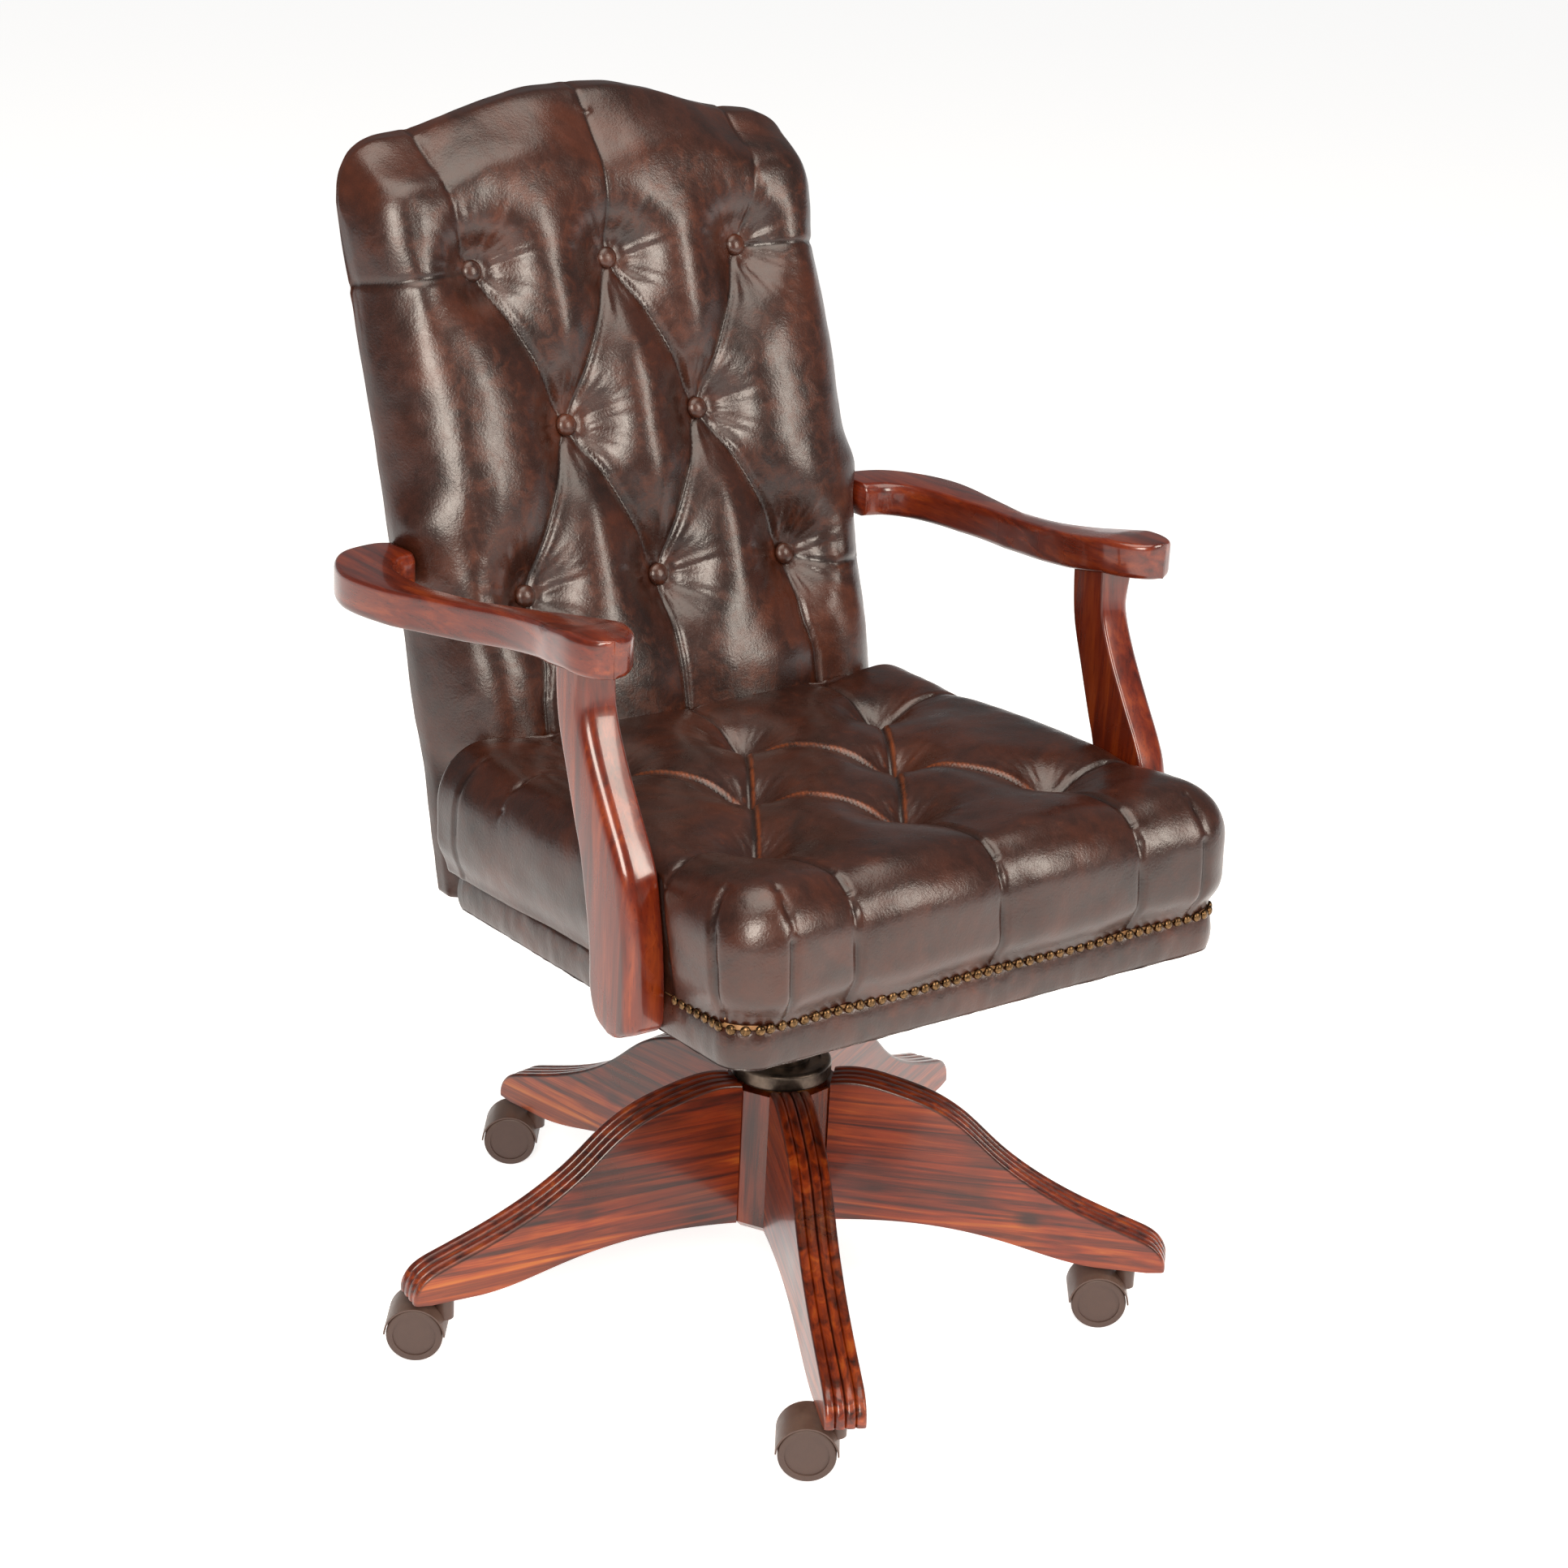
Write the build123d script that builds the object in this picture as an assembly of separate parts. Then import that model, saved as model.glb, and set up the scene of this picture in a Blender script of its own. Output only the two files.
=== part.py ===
from build123d import *
import os
from math import atan2, cos, degrees, pi, radians, sin, tan

# Swivel office chair: buttoned leather seat and back, open wooden arms, and a
# five-legged wooden base on twin-wheel casters. A hand wheel on the base raises
# a keyed screw spindle; the seat turns on the spindle's head and tilts back on
# a pin against a coil spring.
# Millimetres. Origin on the floor under the spindle, front towards -Y, +Z up.

# ---- driving dimensions ----
LEG_COUNT = 5
FIRST_LEG_ANGLE = -115.9
LEG_THICKNESS = 36.0
REED_COUNT = 4
REED_ROUND = 3.2
HUB_INRADIUS = 48.0
HUB_BOTTOM, HUB_TOP = 72.0, 211.0
STEM_RADIUS_ON_LEG = 327.0
LEG_TIP_BOTTOM = 59.0

WHEEL_RADIUS = 25.0
WHEEL_WIDTH = 17.0
WHEEL_INNER_FACE = 4.2
HOOD_RADIUS = 27.2
HOOD_SKIN = 1.4
HOOD_WIDTH = 45.0
CASTER_WEB = 7.2
CASTER_TRAIL = 24.0
CASTER_HEADING = 143.1
AXLE_RADIUS = 3.0
STEM_RADIUS = 5.5
SOCKET_RADIUS = 7.0
RUNNING_GAP = 0.05

SPINDLE_RADIUS = 14.0
THREAD_PITCH = 4.0
THREAD_DEPTH = 1.2
SPINDLE_BOTTOM, SPINDLE_SHOULDER, SPINDLE_TOP = 95.0, 300.0, 341.0
SPIGOT_RADIUS = 11.0
HANDWHEEL_RADIUS = 46.0
BUSH_RADIUS = 20.0
KEY_SIZE = 4.0

PIVOT_Y, PIVOT_Z = -45.0, 346.0
PIVOT_RADIUS = 7.0
SPRING_Y = 46.0
SPRING_BOTTOM, SPRING_TOP = 330.6, 366.0

SEAT_RAKE = 2.9
SEAT_FRONT_Y, SEAT_FRONT_Z = -286.0, 391.0
SEAT_HALF_FRONT, SEAT_HALF_REAR = 257.0, 247.0
SEAT_DEPTH = 437.0
SEAT_CORNER = 30.0
RAIL_BAND = 34.0
RAIL_HEIGHT = 62.0
RAIL_THICK = 45.0
LEATHER = 3.0
CUSHION_TOP = 150.0
NAIL_PITCH = 11.0
NAIL_RADIUS = 4.3

BACK_LEAN = 20.4
BUTTON_ROW_Y, BUTTON_ROW_Z = 229.0, 622.5
BUTTON_COLUMN = 142.5
BUTTON_ROW_STEP = 145.5
BUTTON_RADIUS = 9.8
BUTTON_HEIGHT = 7.5
FRAME_INSET = 30.0
COVER_INSET = 6.0
BACK_TOP_PADDING = 26.0

ARM_THICK = 32.0
POST_INNER, POST_OUTER = 255.5, 290.0

os.makedirs("parts", exist_ok=True)


def save(name, *shapes):
    """Write one node's solids to its own STEP file."""
    solids = [solid for shape in shapes for solid in shape.solids()]
    whole = solids[0] if len(solids) == 1 else Compound(children=solids)
    export_step(whole, f"parts/{name}.step")


def side_face(*curves):
    """A face in the YZ plane from curves given as (y, z) points."""
    return Plane.YZ * make_face(list(curves))


def across(face, low, high):
    """Extrude a YZ face along X from low to high."""
    return Pos(low, 0, 0) * extrude(face, high - low, dir=(1, 0, 0))


# ---- base: hub and legs ----
leg_top = [(48, 217), (80, 219), (105, 214), (140, 203), (171, 185), (200, 160), (243, 131),
           (288, 110), (334, 93), (352, 84), (361, 71), (362, 61)]
leg_under = [(362, 61), (346, LEG_TIP_BOTTOM), (300, LEG_TIP_BOTTOM), (262, 64), (224, 73),
             (180, 81), (141, 84), (96, 83), (48, 78)]
leg_outline = Plane.XZ * make_face([
    Spline(leg_top), Polyline(leg_under[0:1] + leg_under[1:3]),
    Spline(leg_under[2:]), Line(leg_under[-1], leg_top[0])])
reed_width = LEG_THICKNESS / REED_COUNT


def reeded_leg():
    """One leg board: four rounded reeds side by side run along its top edge and tip."""
    board = extrude(leg_outline, reed_width)
    crest = [e for e in board.edges() if e.length > 200 and e.center().Z > 110]
    reed = fillet(crest, REED_ROUND)
    first = LEG_THICKNESS / 2
    leg = Pos(0, first, 0) * reed
    for count in range(1, REED_COUNT):
        leg += Pos(0, first - count * reed_width, 0) * reed
    return leg


caster_turn = [FIRST_LEG_ANGLE + 360 / LEG_COUNT * k for k in range(LEG_COUNT)]
bolt_heights = (112.0, 182.0)
bolt_radius, bolt_inner, bolt_outer = 4.0, 24.0, 92.0


def leg_bolt(height):
    """A hanger bolt lying along the leg, from inside the hub into the leg."""
    return Pos(bolt_inner, 0, height) * Rot(0, 90, 0) * Cylinder(
        bolt_radius, bolt_outer - bolt_inner, align=(Align.CENTER, Align.CENTER, Align.MIN))


def upright(radius, low, high):
    """A cylinder on the Z axis between two heights."""
    return Pos(0, 0, low) * Cylinder(
        radius, high - low, align=(Align.CENTER, Align.CENTER, Align.MIN))


bolts_one_leg = leg_bolt(bolt_heights[0]) + leg_bolt(bolt_heights[1])
socket_top, flange_radius, flange_low = 86.0, 11.0, 57.4
socket_hole = Pos(STEM_RADIUS_ON_LEG, 0, 0) * upright(SOCKET_RADIUS, 40, socket_top)
one_leg = reeded_leg() - bolts_one_leg - socket_hole

hub_flat_turn = (FIRST_LEG_ANGLE + 144.0) - 18.0
hub_plan = Rot(0, 0, hub_flat_turn) * RegularPolygon(HUB_INRADIUS, 10, major_radius=False)
hub = Pos(0, 0, HUB_BOTTOM) * extrude(hub_plan, HUB_TOP - HUB_BOTTOM)
hub = chamfer(hub.faces().sort_by(Axis.Z)[0].edges(), 7.0)
bush_bottom, bore_bottom = 150.0, 86.0
hub -= upright(BUSH_RADIUS, bush_bottom, HUB_TOP)
hub -= upright(SPINDLE_RADIUS + 3, bore_bottom, bush_bottom)
all_bolts = [Rot(0, 0, turn) * bolts_one_leg for turn in caster_turn]
for bolts in all_bolts:
    hub -= bolts
save("base_hub", hub)
for number, turn in enumerate(caster_turn, 1):
    save(f"base_leg_{number}", Rot(0, 0, turn) * one_leg)
save("leg_bolts", *all_bolts)

socket = upright(SOCKET_RADIUS, flange_low, socket_top) + upright(
    flange_radius, flange_low, LEG_TIP_BOTTOM)
socket -= upright(STEM_RADIUS + RUNNING_GAP, flange_low, socket_top - 2)
sockets = [Rot(0, 0, turn) * Pos(STEM_RADIUS_ON_LEG, 0, 0) * socket for turn in caster_turn]
save("caster_sockets", *sockets)

# ---- casters: built with the stem on Z and the wheels trailing along +X ----
boss_radius, boss_top, boss_floor = 8.6, 56.4, 43.0
axle_half = 16.0
wheel_centre = Pos(CASTER_TRAIL, 0, WHEEL_RADIUS)


def lying(radius, low, high):
    """A cylinder along Y on the caster's wheel axis."""
    return wheel_centre * Rot(90, 0, 0) * Pos(0, 0, -high) * Cylinder(
        radius, high - low, align=(Align.CENTER, Align.CENTER, Align.MIN))


wheel_outer = WHEEL_INNER_FACE + WHEEL_WIDTH
hood = lying(HOOD_RADIUS, -HOOD_WIDTH / 2, HOOD_WIDTH / 2)
hood -= Pos(CASTER_TRAIL, 0, 0) * Box(80, 60, 2 * (WHEEL_RADIUS + 1))
hood += upright(boss_radius, 35, boss_top)
cavity = HOOD_RADIUS - HOOD_SKIN
for side in (-1, 1):
    near, far = CASTER_WEB / 2, HOOD_WIDTH / 2 + 1
    hood -= lying(cavity, *sorted((side * near, side * far)))
hood += lying(19.0, -CASTER_WEB / 2, CASTER_WEB / 2)
hood -= lying(AXLE_RADIUS, -CASTER_WEB, CASTER_WEB)
hood -= upright(STEM_RADIUS, boss_floor, boss_top)
stem = upright(STEM_RADIUS, boss_floor, socket_top - 3)
axle = lying(AXLE_RADIUS, -axle_half, axle_half)
wheel = lying(WHEEL_RADIUS, WHEEL_INNER_FACE, wheel_outer)
wheel = fillet(wheel.edges().filter_by(GeomType.CIRCLE), 2.0)
wheel -= lying(19.0, wheel_outer - 1.2, wheel_outer)
wheel -= lying(AXLE_RADIUS + RUNNING_GAP, WHEEL_INNER_FACE, axle_half + 0.3)
other_wheel = mirror(wheel, Plane.XZ)

for number, turn in enumerate(caster_turn, 1):
    on_leg = Rot(0, 0, turn) * Pos(STEM_RADIUS_ON_LEG, 0, 0)
    placed = Pos(*on_leg.position) * Rot(0, 0, CASTER_HEADING)
    save(f"caster_hood_{number}", placed * hood)
    save(f"caster_pins_{number}", placed * stem, placed * axle)
    save(f"caster_wheel_near_{number}", placed * wheel)
    save(f"caster_wheel_far_{number}", placed * other_wheel)

# ---- lift: bush, key, spindle and hand wheel ----
flange_top, bush_flange_radius = HUB_TOP + 3, 38.0
bush = upright(BUSH_RADIUS, bush_bottom, flange_top)
bush += upright(bush_flange_radius, HUB_TOP, flange_top)
bush -= upright(SPINDLE_RADIUS + RUNNING_GAP, bush_bottom, flange_top)
key_low, key_high, key_inner, key_outer = 160.0, 205.0, 12.2, 17.0
key = Pos((key_inner + key_outer) / 2, 0, (key_low + key_high) / 2) * Box(
    key_outer - key_inner, KEY_SIZE, key_high - key_low)
save("column_bush", bush - key)
save("guide_key", key)

threads = [(0, SPINDLE_BOTTOM), (SPINDLE_RADIUS - 2, SPINDLE_BOTTOM),
           (SPINDLE_RADIUS, SPINDLE_BOTTOM + 3)]
thread_count = int((SPINDLE_SHOULDER - SPINDLE_BOTTOM - 8) / THREAD_PITCH)
for turn in range(thread_count):
    start = SPINDLE_BOTTOM + 3 + turn * THREAD_PITCH
    threads += [(SPINDLE_RADIUS, start + 1.6), (SPINDLE_RADIUS - THREAD_DEPTH, start + 2.2),
                (SPINDLE_RADIUS - THREAD_DEPTH, start + 3.4), (SPINDLE_RADIUS, start + 4.0)]
threads += [(SPINDLE_RADIUS, SPINDLE_SHOULDER), (SPIGOT_RADIUS, SPINDLE_SHOULDER),
            (SPIGOT_RADIUS, SPINDLE_TOP - 1), (SPIGOT_RADIUS - 1, SPINDLE_TOP),
            (0, SPINDLE_TOP), (0, SPINDLE_BOTTOM)]
spindle = revolve(make_face(Plane.XZ * Polyline(threads)), Axis.Z)
keyway_floor, keyway_top = 11.5, 209.0
spindle -= Pos(keyway_floor, 0, SPINDLE_BOTTOM) * Box(
    10, KEY_SIZE + 0.3, keyway_top - SPINDLE_BOTTOM, align=(Align.MIN, Align.CENTER, Align.MIN))
save("spindle", spindle)

wheel_low, wheel_high, wheel_boss_top = flange_top + 0.3, 231.0, 242.0
handwheel = fillet(upright(HANDWHEEL_RADIUS, wheel_low, wheel_high).edges().filter_by(
    GeomType.CIRCLE), 4.0)
handwheel += upright(22, wheel_low, wheel_boss_top)
handwheel -= upright(36, wheel_high - 3, wheel_high) - upright(26, wheel_high - 3, wheel_high)
handwheel -= upright(SPINDLE_RADIUS + RUNNING_GAP, wheel_low, wheel_boss_top)
save("handwheel", handwheel)

# ---- swivel head and tilt iron ----
race_top, head_low, head_high = SPINDLE_SHOULDER + 5, SPINDLE_SHOULDER + 5.4, 338.0
race = upright(22, SPINDLE_SHOULDER, race_top) - upright(
    SPIGOT_RADIUS, SPINDLE_SHOULDER, race_top)
save("thrust_race", race)

cheek_inner, cheek_outer, floor_low, floor_high = 46.0, 52.0, 318.0, 324.0
cheek = side_face(Polyline((-78, floor_low), (78, floor_low), (78, 331), (5, 336),
                           (-26, 362), (-64, 362), (-78, 352), (-78, floor_low)))
housing = across(cheek, cheek_inner, cheek_outer) + across(cheek, -cheek_outer, -cheek_inner)
housing += Pos(0, 0, (floor_low + floor_high) / 2) * Box(
    2 * cheek_outer, 156, floor_high - floor_low)
housing += Pos(0, -75, 339) * Box(2 * cheek_outer, 6, 34)
housing += upright(24, head_low, head_high)
housing -= upright(SPIGOT_RADIUS + RUNNING_GAP, head_low - 1, head_high)
pivot = Pos(0, PIVOT_Y, PIVOT_Z) * Rot(0, 90, 0)
housing -= pivot * Cylinder(PIVOT_RADIUS + RUNNING_GAP, 130)
screw_radius = 5.0
housing -= Pos(0, SPRING_Y, 0) * upright(screw_radius + RUNNING_GAP, 300, floor_high)
save("tilt_housing", housing)

ear_inner, ear_outer = 54.0, 60.0
save("pivot_pin", pivot * Cylinder(PIVOT_RADIUS, 2 * ear_outer + 6))

cup_low, cup_high, cup_radius, screw_low = floor_high + 0.4, 330.0, 17.5, 292.0
screw = Pos(0, SPRING_Y, 0) * (upright(screw_radius, screw_low, cup_high)
                               + upright(cup_radius, cup_low, cup_high))
save("tension_screw", screw)
knob = upright(17.5, screw_low, 314)
for lobe in range(6):
    knob -= Rot(0, 0, 60 * lobe) * Pos(22, 0, 0) * upright(7, screw_low, 314)
knob -= upright(screw_radius, screw_low, 314)
save("tension_knob", Pos(0, SPRING_Y, 0) * knob)

wire, coil = 1.7, 13.0
spring_turns = 5
spring_pitch = (SPRING_TOP - SPRING_BOTTOM - 2 * wire) / spring_turns
helix = Helix(spring_pitch, spring_turns * spring_pitch, coil)
helix_start = Plane(helix @ 0, z_dir=helix % 0)
spring = sweep(helix_start * Circle(wire), helix)
save("tilt_spring", Pos(0, SPRING_Y, SPRING_BOTTOM + wire) * spring)

front_pad = Pos(0, -75, 364.8) * Box(60, 5, 17.2)
rear_pad = Pos(0, 71, 332.8) * Box(60, 8, 17.4)
save("stop_pads", front_pad, rear_pad)

# ---- seat: everything below is built level, then laid on the seat's rake ----
SEAT = Pos(0, SEAT_FRONT_Y, SEAT_FRONT_Z) * Rot(-SEAT_RAKE, 0, 0)


def half_width(y, inset=0.0):
    """The seat's half width at depth y behind its front edge."""
    return SEAT_HALF_FRONT + (SEAT_HALF_REAR - SEAT_HALF_FRONT) * y / SEAT_DEPTH - inset


def seat_plan(inset, rear=SEAT_DEPTH, corner=SEAT_CORNER):
    """The seat's outline from above: a slight trapezoid with round front corners."""
    front = [(-half_width(0, inset), inset), (half_width(0, inset), inset)]
    back = [(half_width(rear, inset), rear), (-half_width(rear, inset), rear)]
    plan = make_face(Polyline(*front, *back, front[0]))
    corners = plan.vertices().sort_by(Axis.Y)[0:2]
    return fillet(corners, max(corner - inset, 1.0))


def level(face, low, high):
    """Extrude a plan between two heights above the seat's lower edge."""
    return Pos(0, 0, low) * extrude(face, high - low)


frame_low = 2.0
block = level(seat_plan(LEATHER), frame_low, RAIL_HEIGHT)
inner = half_width(SEAT_DEPTH, LEATHER) - RAIL_THICK
front_zone = Pos(0, RAIL_THICK / 2, 30) * Box(600, RAIL_THICK + 2, 100)
rear_zone = Pos(0, SEAT_DEPTH - RAIL_THICK / 2 + 1, 30) * Box(2 * inner, RAIL_THICK + 2, 100)
side_low, side_high = RAIL_THICK + 1, SEAT_DEPTH
side_zone = Pos(inner, side_low, -20) * Box(
    80, side_high - side_low + 1, 100, align=(Align.MIN, Align.MIN, Align.MIN))
rails = [block & front_zone, block & rear_zone,
         block & side_zone, block & mirror(side_zone, Plane.YZ)]
bearer_y, bearer_width, bearer_height = (216.0, 356.0), 50.0, 30.0
bearers = [Pos(0, y, frame_low + bearer_height / 2) * Box(2 * inner, bearer_width, bearer_height)
           for y in bearer_y]
plate_low = frame_low - 5.0
plate_holes = [Pos(x, y, 0) * upright(4, plate_low, frame_low + bearer_height)
               for x in (-75, 75) for y in bearer_y]
for hole in plate_holes:
    bearers = [bearer - hole for bearer in bearers]
save("seat_frame", *[SEAT * rail for rail in rails])
save("seat_bearers", *[SEAT * bearer for bearer in bearers])
bolt_heads = [Pos(x, y, 0) * extrude(RegularPolygon(8, 6), -5) for x in (-75, 75)
              for y in bearer_y]
bolts = [hole + Pos(0, 0, plate_low) * head for hole, head in zip(plate_holes, bolt_heads)]
save("plate_bolts", *[SEAT * bolt for bolt in bolts])

plate = Pos(0, sum(bearer_y) / 2, (plate_low + frame_low) / 2) * Box(190, 190, 5)
for hole in plate_holes:
    plate -= hole
ear = side_face(Polyline((PIVOT_Y - 26, 376), (PIVOT_Y - 12, PIVOT_Z - 4)),
                ThreePointArc((PIVOT_Y - 12, PIVOT_Z - 4), (PIVOT_Y, PIVOT_Z - 13),
                              (PIVOT_Y + 12, PIVOT_Z - 4)),
                Polyline((PIVOT_Y + 12, PIVOT_Z - 4), (PIVOT_Y + 26, 376),
                         (PIVOT_Y - 26, 376)))
ears = across(ear, ear_inner, ear_outer) + across(ear, -ear_outer, -ear_inner)
save("tilt_plate", SEAT * plate + ears - pivot * Cylinder(PIVOT_RADIUS, 150))

web_low, web_high = RAIL_HEIGHT - 6, RAIL_HEIGHT - 3
web_span = Pos(0, (side_low + SEAT_DEPTH - RAIL_THICK) / 2, (web_low + web_high) / 2) * Box(
    2 * inner, SEAT_DEPTH - RAIL_THICK - side_low, web_high - web_low)
save("seat_webbing", SEAT * web_span)

band = level(seat_plan(0.0), 0.0, RAIL_BAND) - level(seat_plan(LEATHER), 0.0, RAIL_BAND)
save("rail_leather", SEAT * band)

dust = Pos(0, SEAT_DEPTH / 2 + 2, frame_low - 1) * Box(2 * inner + 40, SEAT_DEPTH - 60, 2)
dust -= Pos(0, sum(bearer_y) / 2, frame_low) * Box(196, 196, 10)
save("dust_cover", SEAT * dust)

# ---- nails along the front and round both front corners ----
dome_radius = 5.0
dome_sunk = (dome_radius ** 2 - NAIL_RADIUS ** 2) ** 0.5
nail = Pos(0, 0, -dome_sunk) * (Sphere(dome_radius) & Pos(0, 0, dome_sunk + 4) * Box(20, 20, 8))
nail += upright(0.9, -9, 1)
nail_line = RAIL_BAND + 0.5
nail_side_end = 104.0
nail_clear = 0.05
straight_front = 2 * (half_width(0) - SEAT_CORNER)
nails = []
front_count = int(straight_front // NAIL_PITCH)
for k in range(front_count + 1):
    x = (k - front_count / 2) * NAIL_PITCH
    nails.append(Pos(x, 0, nail_line) * Rot(90, 0, 0) * nail)
arc_steps = 4
for side in (-1, 1):
    for k in range(1, arc_steps + 1):
        turn = 90.0 * (k - 0.35) / arc_steps
        x = half_width(0) - SEAT_CORNER + (SEAT_CORNER + nail_clear) * sin(radians(turn))
        y = SEAT_CORNER - (SEAT_CORNER + nail_clear) * cos(radians(turn))
        nails.append(Pos(side * x, y, nail_line) * Rot(90, 0, side * turn) * nail)
    side_count = int((nail_side_end - SEAT_CORNER) // NAIL_PITCH)
    for k in range(side_count):
        y = SEAT_CORNER + 5 + k * NAIL_PITCH
        nails.append(Pos(side * (half_width(y) + nail_clear), y, nail_line)
                     * Rot(90, 0, side * 90) * nail)
save("nail_trim", *[SEAT * one for one in nails])

# ---- arm rests, shaped on the +X side; their rear ends meet the back ----
outer_arm = [(246.5, 287), (262, 292), (292, 285), (312, 266), (327, 235), (331, 204),
             (325, 160), (312, 112), (301, 70), (292, 18), (293, -28), (302, -68),
             (308, -106), (301, -130), (287, -139), (269, -135), (254, -116), (249, -88),
             (252, -50), (262, 0), (275, 55), (285, 110), (288, 160), (283, 205), (268, 231),
             (246.5, 240)]
arm_plan = make_face([Spline(outer_arm), Line(outer_arm[-1], outer_arm[0])])
arm_top = [(-160, 713), (-97, 711), (-50, 702), (0, 694), (70, 684), (150, 677), (220, 674),
           (310, 672)]
top_curve = Spline(arm_top)
under_curve = Spline([(y, z - ARM_THICK) for y, z in arm_top])
arm_side = side_face(top_curve, Line(top_curve @ 1, under_curve @ 1), under_curve,
                     Line(under_curve @ 0, top_curve @ 0))
arm = across(arm_side, 200, 400) & Pos(0, 0, 600) * extrude(arm_plan, 200)

# ---- back ----
rear_line = [(206, 364), (228, 454), (250, 520), (267, 590), (292, 678), (314, 747), (335, 812),
             (352, 855), (365, 893), (380, 938), (394, 980), (402, 1012), (407, 1050)]
frame_front = [(176, 364), (190, 454), (204, 540), (230, 622), (279, 758), (328, 895),
               (362, 985), (376, 1050)]
pad_line = [(152, 364), (168, 452), (173, 480), (150, 500), (160, 550), (184, 620), (213, 700),
            (257, 820), (303, 940), (332, 992), (372, 1034), (390, 1050)]


def slab(front, rear, half):
    """A layer of the back between two side-view lines, half wide each way."""
    face = side_face(front, Line(front @ 1, rear @ 1), rear, Line(rear @ 0, front @ 0))
    return across(face, -half, half)


def back_outline(inset, drop):
    """The back seen from the front: straight sides, shoulders and a camel hump."""
    side = [(240 - inset, 340), (240 - inset, 480), (245 - inset, 673), (246 - inset, 900),
            (245 - inset, 960 - drop)]
    shoulder = (229 - inset, 1003 - drop)
    hump_foot = (168, 1012 - drop)
    right = Polyline(*side)
    corner = Spline(side[-1], shoulder, hump_foot, tangents=[(0, 1), (-1, 0.08)])
    hump = Spline(hump_foot, (90, 1033 - drop), (0, 1045 - drop),
                  tangents=[(-1, 0.08), (-1, 0)])
    half = Curve() + [right, corner, hump]
    face = make_face([*half.edges(), *mirror(half, Plane.YZ).edges(),
                      Line((-side[0][0], side[0][1]), side[0])])
    return Pos(0, 500, 0) * extrude(Plane.XZ * face, 500)


def shift_back(points, amount):
    return [(y + amount, z) for y, z in points]


skin = 3.0
rear_curve = Spline(rear_line)
inner_rear = Spline(shift_back(rear_line, -skin))
core_front = Spline(frame_front)
core = slab(core_front, inner_rear, 300) & back_outline(FRAME_INSET, BACK_TOP_PADDING)
stile, head_rail, foot_rail = 172.0, 930.0, 440.0


def zone(low_x, high_x, low_z, high_z):
    return Pos(low_x, 0, low_z) * Box(
        high_x - low_x, 600, high_z - low_z, align=(Align.MIN, Align.MIN, Align.MIN))


back_rails = [core & zone(stile, 300, 0, 1100), core & zone(-300, -stile, 0, 1100),
              core & zone(-stile, stile, head_rail, 1100),
              core & zone(-stile, stile, foot_rail, foot_rail + 60)]
save("back_frame", *back_rails)
sheet = slab(core_front, Spline(shift_back(frame_front, 4.0)), 300)
save("back_webbing", sheet & zone(-stile, stile, foot_rail + 60, head_rail))
cover = slab(inner_rear, rear_curve, 300) & back_outline(COVER_INSET, BACK_TOP_PADDING)
save("back_cover", cover & zone(-300, 300, 366, 1100))


def at_height(points, height):
    """The value of a line of (value, z) points at a height, between its listed points."""
    for (y0, z0), (y1, z1) in zip(points, points[1:]):
        if z0 <= height <= z1:
            return y0 + (y1 - y0) * (height - z0) / (z1 - z0)
    return points[0][0] if height < points[0][1] else points[-1][0]


side_band = 18.0
dome = [(13, 0.52), (28, 0.74), (46, 0.90), (75, 0.98)]


def back_section(height):
    """One level slice of the back: flat rear, a narrow side band and a domed front."""
    half = at_height([(240, 480), (245, 673), (246, 900)], height)
    rear, crown = at_height(rear_line, height), at_height(pad_line, height)
    right = [(half, rear), (half, rear - side_band)]
    right += [(half - inward, rear - share * (rear - crown)) for inward, share in dome]
    left = [(-x, y) for x, y in reversed(right)]
    return Pos(0, 0, height) * make_face(Polyline(*right, (0, crown), *left, right[0]))


levels = [364, 452, 480, 500, 550, 620, 700, 820, 940, 992, 1050]
whole_back = loft([back_section(z) for z in levels], ruled=True) & back_outline(0.0, 0.0)
past_rear = Spline(shift_back(rear_line, 20))
frame_pocket = slab(core_front, past_rear, 300) & back_outline(FRAME_INSET, BACK_TOP_PADDING)
cover_pocket = slab(inner_rear, past_rear, 300) & back_outline(COVER_INSET, BACK_TOP_PADDING)
normal = Rot(90 - BACK_LEAN, 0, 0)
button_places = []
for row in range(3):
    columns = (-1, 0, 1) if row != 1 else (-0.5, 0.5)
    step = BUTTON_ROW_STEP * row
    button_places += [Pos(BUTTON_COLUMN * c,
                          BUTTON_ROW_Y + step * sin(radians(BACK_LEAN)),
                          BUTTON_ROW_Z + step * cos(radians(BACK_LEAN))) * normal
                      for c in columns]
back_cushion = whole_back - frame_pocket - cover_pocket
for place in button_places:
    back_cushion -= place * Pos(0, 0, -20) * upright(13, 0, 120)
save("back_cushion", back_cushion & zone(-300, 300, 366, 1100))
button = Pos(0, 0, -2) * (Sphere(12.5) & Pos(0, 0, 10.3) * Box(40, 40, 10))
buttons = [place * button for place in button_places]
save("back_buttons", *buttons)

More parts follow.
